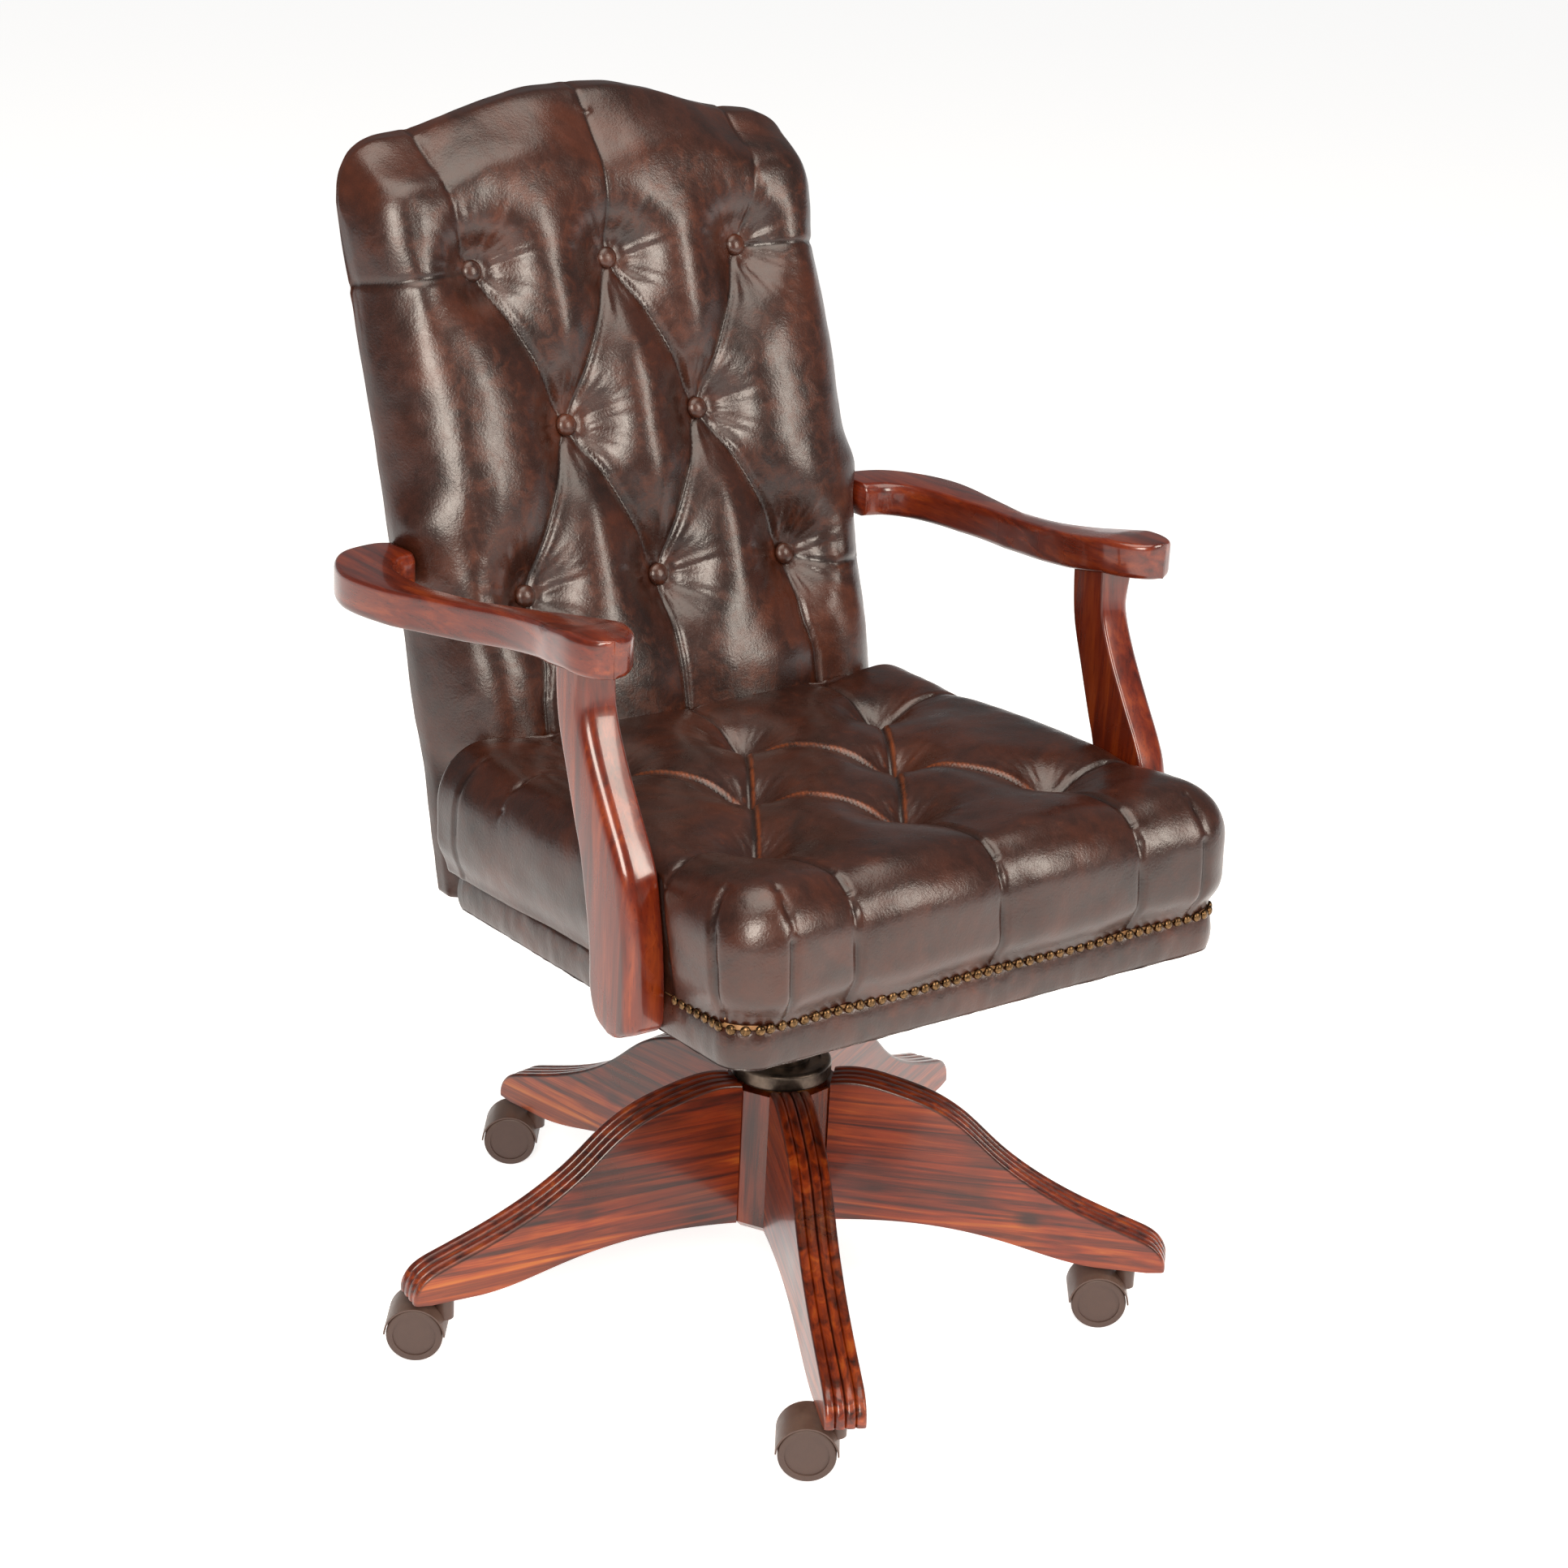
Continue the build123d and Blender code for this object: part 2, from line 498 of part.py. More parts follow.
# ---- seat cushion: a crowned cap over the frame, cut clear of the back ----
post_room_low, post_room_high = 96.0, 196.0
cushion_side = [(266, -17), (266, post_room_low - 10), (253, post_room_low),
                (252, post_room_high), (262, post_room_high + 14), (262, 330),
                (half_width(SEAT_DEPTH, 2), SEAT_DEPTH)]
other_side = [(-x, y) for x, y in reversed(cushion_side)]
cushion_plan = make_face(Polyline(*cushion_side, *other_side, cushion_side[0]))
cushion_plan = fillet(cushion_plan.vertices().sort_by(Axis.Y)[0:2], SEAT_CORNER + 12)
cushion = level(cushion_plan, RAIL_BAND + 6, CUSHION_TOP)
top_edges = cushion.faces().sort_by(Axis.Z)[-1].edges()
cushion = fillet(top_edges, 34.0)
cushion -= level(seat_plan(LEATHER), 0, RAIL_HEIGHT)
back_clear = Pos(0, -1.0, 0) * whole_back
save("seat_cushion", SEAT * cushion - back_clear)

# ---- arm posts ----
post_front = [(-96, 690), (-97, 660), (-101, 635), (-115, 604), (-137, 567), (-157, 535),
              (-167, 512)]
post_rear = [(-118, 410), (-116, 435), (-112, 463), (-99, 518), (-89, 545), (-75, 584),
             (-61, 625), (-56, 660), (-55, 690)]
post_side = side_face(
    Spline(post_front), Spline((-167, 512), (-177, 465), (-182, 408)),
    Spline((-182, 408), (-178, 390), (-164, 382), (-144, 382), (-127, 390), (-118, 410)),
    Spline(post_rear), Line((-55, 690), (-96, 690)))
post = across(post_side, POST_INNER, POST_OUTER)
outer_face = post.faces().sort_by(Axis.X)[-1]
outer_front = [edge for edge in outer_face.edges()
               if edge.center().Z < 395 or edge.center().Y < -110]
post = fillet(outer_front, 12.0)
under_arm = across(side_face(under_curve, Line(under_curve @ 1, (310, 800)),
                             Line((310, 800), (-160, 800)), Line((-160, 800), under_curve @ 0)),
                   200, 400)
post -= under_arm

post_bolt_heights = (408.0, 442.0)
post_screw_y = (-148.0, -146.0)
screws = [Pos(POST_INNER - 20, y, z) * Rot(0, 90, 0) * Cylinder(
    3.5, 44, align=(Align.CENTER, Align.CENTER, Align.MIN))
    for y, z in zip(post_screw_y, post_bolt_heights)]
screws.append(Pos(205, 266, 656) * Rot(0, 90, 0) * Cylinder(
    3.0, 70, align=(Align.CENTER, Align.CENTER, Align.MIN)))
screws.append(Pos(273, -78, 0) * upright(3.0, 640, 698))
for screw_one in screws:
    post -= screw_one
    arm -= screw_one
for name, shape in (("arm", arm), ("arm_post", post)):
    save(f"{name}_right", shape)
    save(f"{name}_left", mirror(shape, Plane.YZ))
all_screws = screws + [mirror(one, Plane.YZ) for one in screws]
save("arm_screws", *all_screws)
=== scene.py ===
import math

import bmesh
import bpy
import numpy as np
from mathutils import Matrix, Vector, noise


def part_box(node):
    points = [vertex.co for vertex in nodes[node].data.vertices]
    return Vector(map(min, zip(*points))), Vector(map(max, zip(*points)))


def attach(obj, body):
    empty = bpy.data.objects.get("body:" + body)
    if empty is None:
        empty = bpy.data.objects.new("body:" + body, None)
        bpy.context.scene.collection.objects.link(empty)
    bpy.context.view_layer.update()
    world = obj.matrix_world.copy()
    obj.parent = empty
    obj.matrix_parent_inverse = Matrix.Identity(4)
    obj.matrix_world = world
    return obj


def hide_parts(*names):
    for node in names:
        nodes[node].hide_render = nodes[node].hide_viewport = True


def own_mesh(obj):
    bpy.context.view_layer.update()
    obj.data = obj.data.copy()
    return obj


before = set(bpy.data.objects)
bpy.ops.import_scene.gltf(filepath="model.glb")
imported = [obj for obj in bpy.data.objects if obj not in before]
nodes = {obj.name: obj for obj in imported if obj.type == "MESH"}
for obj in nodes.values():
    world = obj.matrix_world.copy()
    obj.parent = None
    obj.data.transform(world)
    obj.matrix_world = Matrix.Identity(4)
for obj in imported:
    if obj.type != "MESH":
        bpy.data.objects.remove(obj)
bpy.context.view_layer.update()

view_turn, view_height, view_roll = math.radians(-36.9), math.radians(20.84), math.radians(2.915)
away = Vector((math.sin(view_turn) * math.cos(view_height),
               -math.cos(view_turn) * math.cos(view_height), math.sin(view_height)))
level_right = Vector((math.cos(view_turn), math.sin(view_turn), 0.0))
level_up = away.cross(level_right)
camera_right = math.cos(view_roll) * level_right + math.sin(view_roll) * level_up
camera_up = -math.sin(view_roll) * level_right + math.cos(view_roll) * level_up
look_at, distance = Vector((0.0, 0.0, 0.4926)), 2.9664
camera = bpy.data.objects.new("camera", bpy.data.cameras.new("camera"))
bpy.context.scene.collection.objects.link(camera)
place = Matrix((camera_right, camera_up, away)).transposed().to_4x4()
place.translation = look_at + distance * away
camera.matrix_world = place
camera.data.lens, camera.data.sensor_width = 77.42, 36.0
camera.data.shift_x, camera.data.shift_y = -0.00704, 0.00083
bpy.context.scene.camera = camera
bpy.context.scene.view_settings.view_transform = "Standard"


def colour(hex_value):
    """An sRGB hex value as linear red, green, blue and alpha."""
    parts = [int(hex_value[k:k + 2], 16) / 255 for k in (1, 3, 5)]
    return [c / 12.92 if c <= 0.04045 else ((c + 0.055) / 1.055) ** 2.4 for c in parts] + [1.0]


def add(tree, kind, inputs=None, stops=None, **settings):
    """Adds a node, sets its properties and ramp stops, and fills or links its inputs."""
    made = tree.nodes.new(kind)
    for name, value in settings.items():
        setattr(made, name, value)
    if stops:
        ramp = made.color_ramp.elements
        while len(ramp) < len(stops):
            ramp.new(0.5)
        for element, (at, value) in zip(ramp, stops):
            element.position = at
            element.color = colour(value) if isinstance(value, str) else (value, value, value, 1)
    for name, value in (inputs or {}).items():
        if isinstance(value, bpy.types.NodeSocket):
            tree.links.new(value, made.inputs[name])
        else:
            made.inputs[name].default_value = value
    return made


def new_material(name):
    """An empty node material: its tree and its output node."""
    made = bpy.data.materials.new(name)
    made.use_nodes = True
    made.node_tree.nodes.clear()
    output = made.node_tree.nodes.new("ShaderNodeOutputMaterial")
    return made, made.node_tree, output


floor_half = 30.0
floor_mesh = bpy.data.meshes.new("floor")
floor_mesh.from_pydata([(-floor_half, -floor_half, 0), (floor_half, -floor_half, 0),
                        (floor_half, floor_half, 0), (-floor_half, floor_half, 0)],
                       [], [(0, 1, 2, 3)])
floor = bpy.data.objects.new("floor", floor_mesh)
bpy.context.scene.collection.objects.link(floor)
paint, tree, output = new_material("matt white floor paint")
shader = add(tree, "ShaderNodeBsdfPrincipled", {
    "Base Color": colour("#f4f3f1"), "Roughness": 0.85, "Specular IOR Level": 0.05,
    "Emission Color": colour("#ffffff"), "Emission Strength": 0.76})
tree.links.new(shader.outputs[0], output.inputs[0])
floor_mesh.materials.append(paint)

world = bpy.data.worlds.new("bright room")
bpy.context.scene.world = world
world.use_nodes = True
world.node_tree.nodes.clear()
# the surroundings light the chair dimly, so gloss keeps contrast, but are seen white
dim = add(world.node_tree, "ShaderNodeBackground", {"Strength": 0.22})
pale = add(world.node_tree, "ShaderNodeBackground", {"Color": colour("#ffffff")})
seen = add(world.node_tree, "ShaderNodeLightPath").outputs["Is Camera Ray"]
both = add(world.node_tree, "ShaderNodeMixShader", {0: seen, 1: dim.outputs[0],
                                                    2: pale.outputs[0]})
add(world.node_tree, "ShaderNodeOutputWorld", {"Surface": both.outputs[0]})
for name, at, size, power in (("front left box", (-2.6, -3.0, 2.6), (1.5, 2.0), 150),
                              ("front right box", (1.8, -3.4, 2.3), (0.9, 2.0), 75),
                              ("overhead box", (-0.2, -0.4, 3.4), (2.4, 2.4), 70)):
    lamp = bpy.data.lights.new(name, "AREA")
    lamp.color = colour("#fff3e6")[:3]
    lamp.shape, lamp.size, lamp.size_y, lamp.energy = "RECTANGLE", size[0], size[1], power
    box = bpy.data.objects.new(name, lamp)
    bpy.context.scene.collection.objects.link(box)
    box.location = at
    box.rotation_euler = (Vector((0, 0, 0.55)) - Vector(at)).to_track_quat("-Z", "Y").to_euler()


def paint_nodes(material, *names):
    """Gives CAD nodes a finish."""
    for name in names:
        for held in nodes[name].material_slots:
            held.material = material


def stained_pine(name, turn, reed_pitch, stretch=(5.0, 80.0, 130.0)):
    """Varnished stained pine with its grain along a direction turned about Z."""
    made, tree, output = new_material(name)
    place = add(tree, "ShaderNodeTexCoord").outputs["Object"]
    along = add(tree, "ShaderNodeVectorRotate", {"Vector": place, "Angle": -turn},
                rotation_type="Z_AXIS").outputs[0]
    # growth rings every 7 mm across, drawn out twelve times along the board
    grain = add(tree, "ShaderNodeMapping", {"Vector": along, "Scale": stretch})
    rings = add(tree, "ShaderNodeTexNoise", {
        "Vector": grain.outputs[0], "Scale": 1.0, "Detail": 6.0, "Roughness": 0.62,
        "Distortion": 0.9})
    fibre_map = add(tree, "ShaderNodeMapping", {"Vector": along, "Scale": (30.0, 700.0, 700.0)})
    fibre = add(tree, "ShaderNodeTexNoise", {
        "Vector": fibre_map.outputs[0], "Scale": 1.0, "Detail": 3.0, "Roughness": 0.6})
    cloud = add(tree, "ShaderNodeTexNoise", {
        "Vector": along, "Scale": 7.0, "Detail": 3.0, "Roughness": 0.55, "Distortion": 0.4})
    knot_map = add(tree, "ShaderNodeMapping", {"Vector": along, "Scale": (9.0, 9.0, 15.0)})
    knot = add(tree, "ShaderNodeTexVoronoi", {
        "Vector": knot_map.outputs[0], "Scale": 1.0, "Randomness": 1.0})
    knot_dark = add(tree, "ShaderNodeMapRange", {
        "Value": knot.outputs["Distance"], "From Min": 0.05, "From Max": 0.16,
        "To Min": 0.85, "To Max": 0.0})
    wood = add(tree, "ShaderNodeValToRGB", {"Fac": rings.outputs[0]}, stops=[
        (0.30, "#2b0e05"), (0.44, "#6c290a"), (0.58, "#9b4410"), (0.76, "#c07226")])
    mixed = add(tree, "ShaderNodeMix", {0: 0.22, 6: wood.outputs[0], 7: fibre.outputs[1]},
                data_type="RGBA", blend_type="SOFT_LIGHT")
    stain = add(tree, "ShaderNodeValToRGB", {"Fac": cloud.outputs[0]}, stops=[
        (0.36, "#5a2412"), (0.52, "#c98e62"), (0.70, "#ffffff")])
    stained = add(tree, "ShaderNodeMix", {0: 0.75, 6: mixed.outputs[2], 7: stain.outputs[0]},
                  data_type="RGBA", blend_type="MULTIPLY")
    parts = add(tree, "ShaderNodeSeparateXYZ", {0: along})
    spread = add(tree, "ShaderNodeMath", {0: parts.outputs[1], 1: reed_pitch},
                 operation="PINGPONG")
    up = add(tree, "ShaderNodeSeparateXYZ", {0: add(
        tree, "ShaderNodeNewGeometry").outputs["Normal"]})
    # painted shade: the grooves between the reeds, on faces that look up, are darkened
    in_groove = add(tree, "ShaderNodeMapRange", {
        "Value": spread.outputs[0], "From Min": 0.0, "From Max": 0.0016,
        "To Min": 1.0, "To Max": 0.0})
    faces_up = add(tree, "ShaderNodeMapRange", {
        "Value": up.outputs[2], "From Min": 0.05, "From Max": 0.35})
    groove_shade = add(tree, "ShaderNodeMath", {0: in_groove.outputs[0], 1: faces_up.outputs[0]},
                 operation="MULTIPLY")
    dark = add(tree, "ShaderNodeMath", {0: groove_shade.outputs[0], 1: knot_dark.outputs[0]},
               operation="MAXIMUM")
    toned = add(tree, "ShaderNodeMix", {0: dark.outputs[0], 6: stained.outputs[2],
                                        7: colour("#1d0906")}, data_type="RGBA")
    rough = add(tree, "ShaderNodeMapRange", {
        "Value": cloud.outputs[0], "From Min": 0.3, "From Max": 0.7,
        "To Min": 0.24, "To Max": 0.42})
    bump = add(tree, "ShaderNodeBump", {"Height": fibre.outputs[0], "Strength": 0.12,
                                        "Distance": 0.0006})
    shader = add(tree, "ShaderNodeBsdfPrincipled", {
        "Base Color": toned.outputs[2], "Roughness": rough.outputs[0],
        "Normal": bump.outputs[0], "IOR": 1.5, "Coat Weight": 0.35, "Coat Roughness": 0.12})
    tree.links.new(shader.outputs[0], output.inputs[0])
    return made


leg_count, first_leg, reed_width = 5, -115.9, 0.009
for number in range(leg_count):
    turn = math.radians(first_leg + 360 / leg_count * number)
    paint_nodes(stained_pine(f"varnished stained pine, leg {number + 1}", turn, reed_width),
                f"base_leg_{number + 1}")
paint_nodes(stained_pine("varnished stained pine, hub", 0.0, 1.0, (90.0, 90.0, 6.0)), "base_hub")

# ---- Casters: twin hooded wheels of moulded plastic on steel stems ----
# Injection-moulded nylon in dark brown, a satin skin with a fine spark texture that
# floor dust has dulled; the stem, socket and axle are bright-drawn steel.
def turned_metal(name, tone, worn, metallic, rough, scale):
    """A metal or painted iron: tone with worn patches, handling marks and fine pitting."""
    made, tree, output = new_material(name)
    place = add(tree, "ShaderNodeTexCoord").outputs["Object"]
    patch = add(tree, "ShaderNodeTexNoise", {
        "Vector": place, "Scale": scale, "Detail": 5.0, "Roughness": 0.65})
    pits = add(tree, "ShaderNodeTexNoise", {
        "Vector": place, "Scale": scale * 14, "Detail": 2.0})
    shade = add(tree, "ShaderNodeValToRGB", {"Fac": patch.outputs[0]}, stops=[
        (0.38, tone), (0.72, worn)])
    shine = add(tree, "ShaderNodeMapRange", {
        "Value": patch.outputs[0], "From Min": 0.3, "From Max": 0.7,
        "To Min": rough - 0.06, "To Max": rough + 0.12})
    bump = add(tree, "ShaderNodeBump", {"Height": pits.outputs[0], "Strength": 0.15,
                                        "Distance": 0.0004})
    shader = add(tree, "ShaderNodeBsdfPrincipled", {
        "Base Color": shade.outputs[0], "Roughness": shine.outputs[0],
        "Metallic": metallic, "Normal": bump.outputs[0]})
    tree.links.new(shader.outputs[0], output.inputs[0])
    return made


def moulded_plastic(name, tone, dusty, rough):
    """Dark moulded plastic with a fine texture and dust on what faces up."""
    made, tree, output = new_material(name)
    place = add(tree, "ShaderNodeTexCoord").outputs["Object"]
    # spark texture at about 0.8 mm, coarser than the real one so that it shows
    spark = add(tree, "ShaderNodeTexNoise", {"Vector": place, "Scale": 1250.0, "Detail": 2.0})
    scuff = add(tree, "ShaderNodeTexNoise", {
        "Vector": place, "Scale": 55.0, "Detail": 6.0, "Roughness": 0.7})
    up = add(tree, "ShaderNodeSeparateXYZ", {0: add(
        tree, "ShaderNodeNewGeometry").outputs["Normal"]})
    lies = add(tree, "ShaderNodeMapRange", {
        "Value": up.outputs[2], "From Min": -0.2, "From Max": 1.0, "To Min": 0.1,
        "To Max": 0.65})
    amount = add(tree, "ShaderNodeMath", {0: lies.outputs[0], 1: scuff.outputs[0]},
                 operation="MULTIPLY")
    tint = add(tree, "ShaderNodeMix", {0: amount.outputs[0], 6: colour(tone),
                                       7: colour(dusty)}, data_type="RGBA")
    bump = add(tree, "ShaderNodeBump", {"Height": spark.outputs[0], "Strength": 0.25,
                                        "Distance": 0.0003})
    shine = add(tree, "ShaderNodeMapRange", {
        "Value": scuff.outputs[0], "From Min": 0.3, "From Max": 0.7,
        "To Min": rough - 0.08, "To Max": rough + 0.15})
    shader = add(tree, "ShaderNodeBsdfPrincipled", {
        "Base Color": tint.outputs[2], "Roughness": shine.outputs[0],
        "Normal": bump.outputs[0], "IOR": 1.5})
    tree.links.new(shader.outputs[0], output.inputs[0])
    return made


hood_plastic = moulded_plastic("moulded nylon, caster hood", "#432c25", "#9a8274", 0.38)
wheel_plastic = moulded_plastic("moulded nylon, caster wheel", "#3c2721", "#8d786c", 0.45)
bright_steel = turned_metal("bright drawn steel", "#8f8f90", "#b8b6b2", 1.0, 0.32, 60)
for number in range(1, 6):
    paint_nodes(hood_plastic, f"caster_hood_{number}")
    paint_nodes(wheel_plastic, f"caster_wheel_near_{number}", f"caster_wheel_far_{number}")
    paint_nodes(bright_steel, f"caster_pins_{number}")
paint_nodes(bright_steel, "caster_sockets", "leg_bolts")

# ---- Lift and tilt: screw spindle, hand wheel, iron head and tension knob ----
# The spindle is oiled steel in a bronze bush. The hand wheel is turned iron, painted
# black and rubbed bright in patches by hands; the head is pressed sheet in black enamel.
oiled_steel = turned_metal("oiled turned steel", "#55524e", "#8a867f", 1.0, 0.34, 45)
black_enamel = turned_metal("stoved black enamel on iron", "#141210", "#2b2622", 0.0, 0.36, 40)
rubbed_iron = turned_metal("rubbed blackened iron", "#2a2320", "#7d6f63", 0.85, 0.33, 26)
bush_bronze = turned_metal("sintered bronze", "#7a5330", "#a3764a", 1.0, 0.42, 70)
paint_nodes(oiled_steel, "spindle", "pivot_pin", "tension_screw", "tilt_spring", "guide_key",
            "plate_bolts", "thrust_race")
paint_nodes(black_enamel, "tilt_housing", "tilt_plate")
paint_nodes(rubbed_iron, "handwheel")
paint_nodes(bush_bronze, "column_bush")
paint_nodes(moulded_plastic("moulded phenolic, tension knob", "#151312", "#4a4541", 0.35),
            "tension_knob")
paint_nodes(moulded_plastic("moulded rubber, stop pads", "#1b1a19", "#4d4a47", 0.7), "stop_pads")

# ---- Seat underside: beech rails and bearers, jute webbing, black bottom cloth ----
# The rails are planed beech left bare, for they are covered; the bottom cloth is a
# coarse black cotton tacked under the rails.


def bare_beech(name):
    """Planed, unfinished beech with short flecks."""
    made, tree, output = new_material(name)
    place = add(tree, "ShaderNodeTexCoord").outputs["Object"]
    stretch = add(tree, "ShaderNodeMapping", {"Vector": place, "Scale": (14.0, 150.0, 150.0)})
    grain = add(tree, "ShaderNodeTexNoise", {
        "Vector": stretch.outputs[0], "Scale": 1.0, "Detail": 5.0, "Distortion": 0.5})
    shade = add(tree, "ShaderNodeValToRGB", {"Fac": grain.outputs[0]}, stops=[
        (0.35, "#a9794e"), (0.65, "#cfa274")])
    bump = add(tree, "ShaderNodeBump", {"Height": grain.outputs[0], "Strength": 0.2,
                                        "Distance": 0.0005})
    shader = add(tree, "ShaderNodeBsdfPrincipled", {
        "Base Color": shade.outputs[0], "Roughness": 0.62, "Normal": bump.outputs[0]})
    tree.links.new(shader.outputs[0], output.inputs[0])
    return made


def plain_cloth(name, tone, light, thread):
    """A plain weave: threads crossing at the given spacing in metres."""
    made, tree, output = new_material(name)
    place = add(tree, "ShaderNodeTexCoord").outputs["Object"]
    lines = 1.0 / thread
    warp = add(tree, "ShaderNodeTexWave", {"Vector": place, "Scale": lines / 6.283,
                                           "Distortion": 0.4, "Detail": 1.0},
               bands_direction="X")
    weft = add(tree, "ShaderNodeTexWave", {"Vector": place, "Scale": lines / 6.283,
                                           "Distortion": 0.4, "Detail": 1.0},
               bands_direction="Y")
    weave = add(tree, "ShaderNodeMath", {0: warp.outputs[1], 1: weft.outputs[1]},
                operation="MULTIPLY")
    shade = add(tree, "ShaderNodeMix", {0: weave.outputs[0], 6: colour(tone),
                                        7: colour(light)}, data_type="RGBA")
    bump = add(tree, "ShaderNodeBump", {"Height": weave.outputs[0], "Strength": 0.4,
                                        "Distance": 0.0005})
    shader = add(tree, "ShaderNodeBsdfPrincipled", {
        "Base Color": shade.outputs[2], "Roughness": 0.9, "Normal": bump.outputs[0]})
    tree.links.new(shader.outputs[0], output.inputs[0])
    return made


paint_nodes(bare_beech("planed bare beech"), "seat_frame", "seat_bearers", "back_frame")
paint_nodes(plain_cloth("black cotton bottom cloth", "#0d0c0c", "#2b2927", 0.0016), "dust_cover")
paint_nodes(plain_cloth("jute webbing", "#7a6342", "#b39a6d", 0.003),
            "seat_webbing", "back_webbing")

# ---- Seat cushion: hand-rubbed leather over hair and foam, tied down in diamonds ----
# Full-grain hide, dyed dark brown over a red ground, waxed and rubbed back so that the
# crests and worn folds show oxblood. Twine pulls it to the webbing at eight points,
# pleats run between them and down to the nails, and the front corners are folded.


def hide(name, rub_amount):
    """Rubbed antique leather with painted shade in its creases; reads the mesh's crease-shade and
    rub attributes.
    """
    made, tree, output = new_material(name)
    place = add(tree, "ShaderNodeTexCoord").outputs["Object"]
    fold = add(tree, "ShaderNodeAttribute", attribute_name="fold").outputs["Fac"]
    rub = add(tree, "ShaderNodeAttribute", attribute_name="rub").outputs["Fac"]
    cloud = add(tree, "ShaderNodeTexNoise", {
        "Vector": place, "Scale": 11.0, "Detail": 5.0, "Roughness": 0.62, "Distortion": 0.7})
    mottle = add(tree, "ShaderNodeTexNoise", {
        "Vector": place, "Scale": 60.0, "Detail": 6.0, "Roughness": 0.7, "Distortion": 0.5})
    ground = add(tree, "ShaderNodeValToRGB", {"Fac": cloud.outputs[0]}, stops=[
        (0.34, "#1e0d07"), (0.52, "#2e150c"), (0.70, "#431f10")])
    patch = add(tree, "ShaderNodeMapRange", {
        "Value": mottle.outputs[0], "From Min": 0.42, "From Max": 0.75,
        "To Min": 0.0, "To Max": 0.16})
    reddened = add(tree, "ShaderNodeMix", {0: patch.outputs[0], 6: ground.outputs[0],
                                           7: colour("#6a2e15")}, data_type="RGBA")
    worn = add(tree, "ShaderNodeMath", {0: rub, 1: mottle.outputs[0]}, operation="MULTIPLY")
    worn_amount = add(tree, "ShaderNodeMapRange", {
        "Value": worn.outputs[0], "From Min": 0.18, "From Max": 0.55,
        "To Min": 0.0, "To Max": rub_amount})
    rubbed = add(tree, "ShaderNodeMix", {0: worn_amount.outputs[0], 6: reddened.outputs[2],
                                         7: colour("#8c4419")}, data_type="RGBA")
    # painted shade: the creases and the hollows round the ties are darkened
    in_fold = add(tree, "ShaderNodeMapRange", {
        "Value": fold, "From Min": 0.15, "From Max": 1.0, "To Min": 0.0, "To Max": 0.85})
    toned = add(tree, "ShaderNodeMix", {0: in_fold.outputs[0], 6: rubbed.outputs[2],
                                        7: colour("#130704")}, data_type="RGBA")
    # hide grain: the real pebbles are 1.3 mm across, drawn at 2 mm so that they show
    grain = add(tree, "ShaderNodeTexVoronoi", {
        "Vector": place, "Scale": 500.0, "Smoothness": 0.8, "Randomness": 1.0},
        feature="SMOOTH_F1")
    pores = add(tree, "ShaderNodeTexNoise", {"Vector": place, "Scale": 900.0, "Detail": 2.0})
    creep = add(tree, "ShaderNodeTexNoise", {
        "Vector": place, "Scale": 130.0, "Detail": 4.0, "Roughness": 0.6, "Distortion": 1.6})
    fine = add(tree, "ShaderNodeBump", {"Height": grain.outputs["Distance"], "Strength": 0.16,
                                        "Distance": 0.0006})
    finer = add(tree, "ShaderNodeBump", {"Height": pores.outputs[0], "Strength": 0.08,
                                         "Distance": 0.0003, "Normal": fine.outputs[0]})
    creased = add(tree, "ShaderNodeBump", {"Height": creep.outputs[0], "Strength": 0.20,
                                           "Distance": 0.0012, "Normal": finer.outputs[0]})
    rough = add(tree, "ShaderNodeMapRange", {
        "Value": mottle.outputs[0], "From Min": 0.3, "From Max": 0.7,
        "To Min": 0.25, "To Max": 0.37})
    shader = add(tree, "ShaderNodeBsdfPrincipled", {
        "Base Color": toned.outputs[2], "Roughness": rough.outputs[0],
        "Normal": creased.outputs[0], "IOR": 1.5, "Specular IOR Level": 0.62,
        "Coat Weight": 0.12, "Coat Roughness": 0.20})
    tree.links.new(shader.outputs[0], output.inputs[0])
    return made


def block_grid(nx, ny, nz):
    """The skin of a box cut into cells: integer corners and quads that face out."""
    index, corners, quads = {}, [], []

    def corner(*key):
        if key not in index:
            index[key] = len(corners)
            corners.append(key)
        return index[key]

    def quad(cell, flip):
        numbers = [corner(*c) for c in cell]
        quads.append(numbers[::-1] if flip else numbers)

    for i in range(nx):
        for j in range(ny):
            for k, flip in ((0, True), (nz, False)):
                quad([(i, j, k), (i + 1, j, k), (i + 1, j + 1, k), (i, j + 1, k)], flip)
        for k in range(nz):
            for j, flip in ((0, False), (ny, True)):
                quad([(i, j, k), (i + 1, j, k), (i + 1, j, k + 1), (i, j, k + 1)], flip)
    for j in range(ny):
        for k in range(nz):
            for i, flip in ((0, True), (nx, False)):
                quad([(i, j, k), (i, j + 1, k), (i, j + 1, k + 1), (i, j, k + 1)], flip)
    return np.array(corners, float), quads


def smooth(value, low, high):
    """Rises from 0 at low to 1 at high with no kink."""
    t = np.clip((value - low) / (high - low), 0, 1)
    return t * t * (3 - 2 * t)


def mesh_piece(name, points_mm, faces):
    """A smooth-shaded object from points in millimetres, its place in its mesh."""
    mesh = bpy.data.meshes.new(name)
    mesh.from_pydata((np.asarray(points_mm) / 1000).tolist(), [], faces)
    mesh.shade_smooth()
    made = bpy.data.objects.new(name, mesh)
    bpy.context.scene.collection.objects.link(made)
    return made


def read_mm(piece):
    """A piece's points and normals, in millimetres."""
    count = len(piece.data.vertices)
    at, facing = np.zeros(count * 3), np.zeros(count * 3, np.float32)
    piece.data.vertices.foreach_get("co", at)
    piece.data.vertex_normals.foreach_get("vector", facing)
    return at.reshape(-1, 3) * 1000, facing.reshape(-1, 3).astype(float)


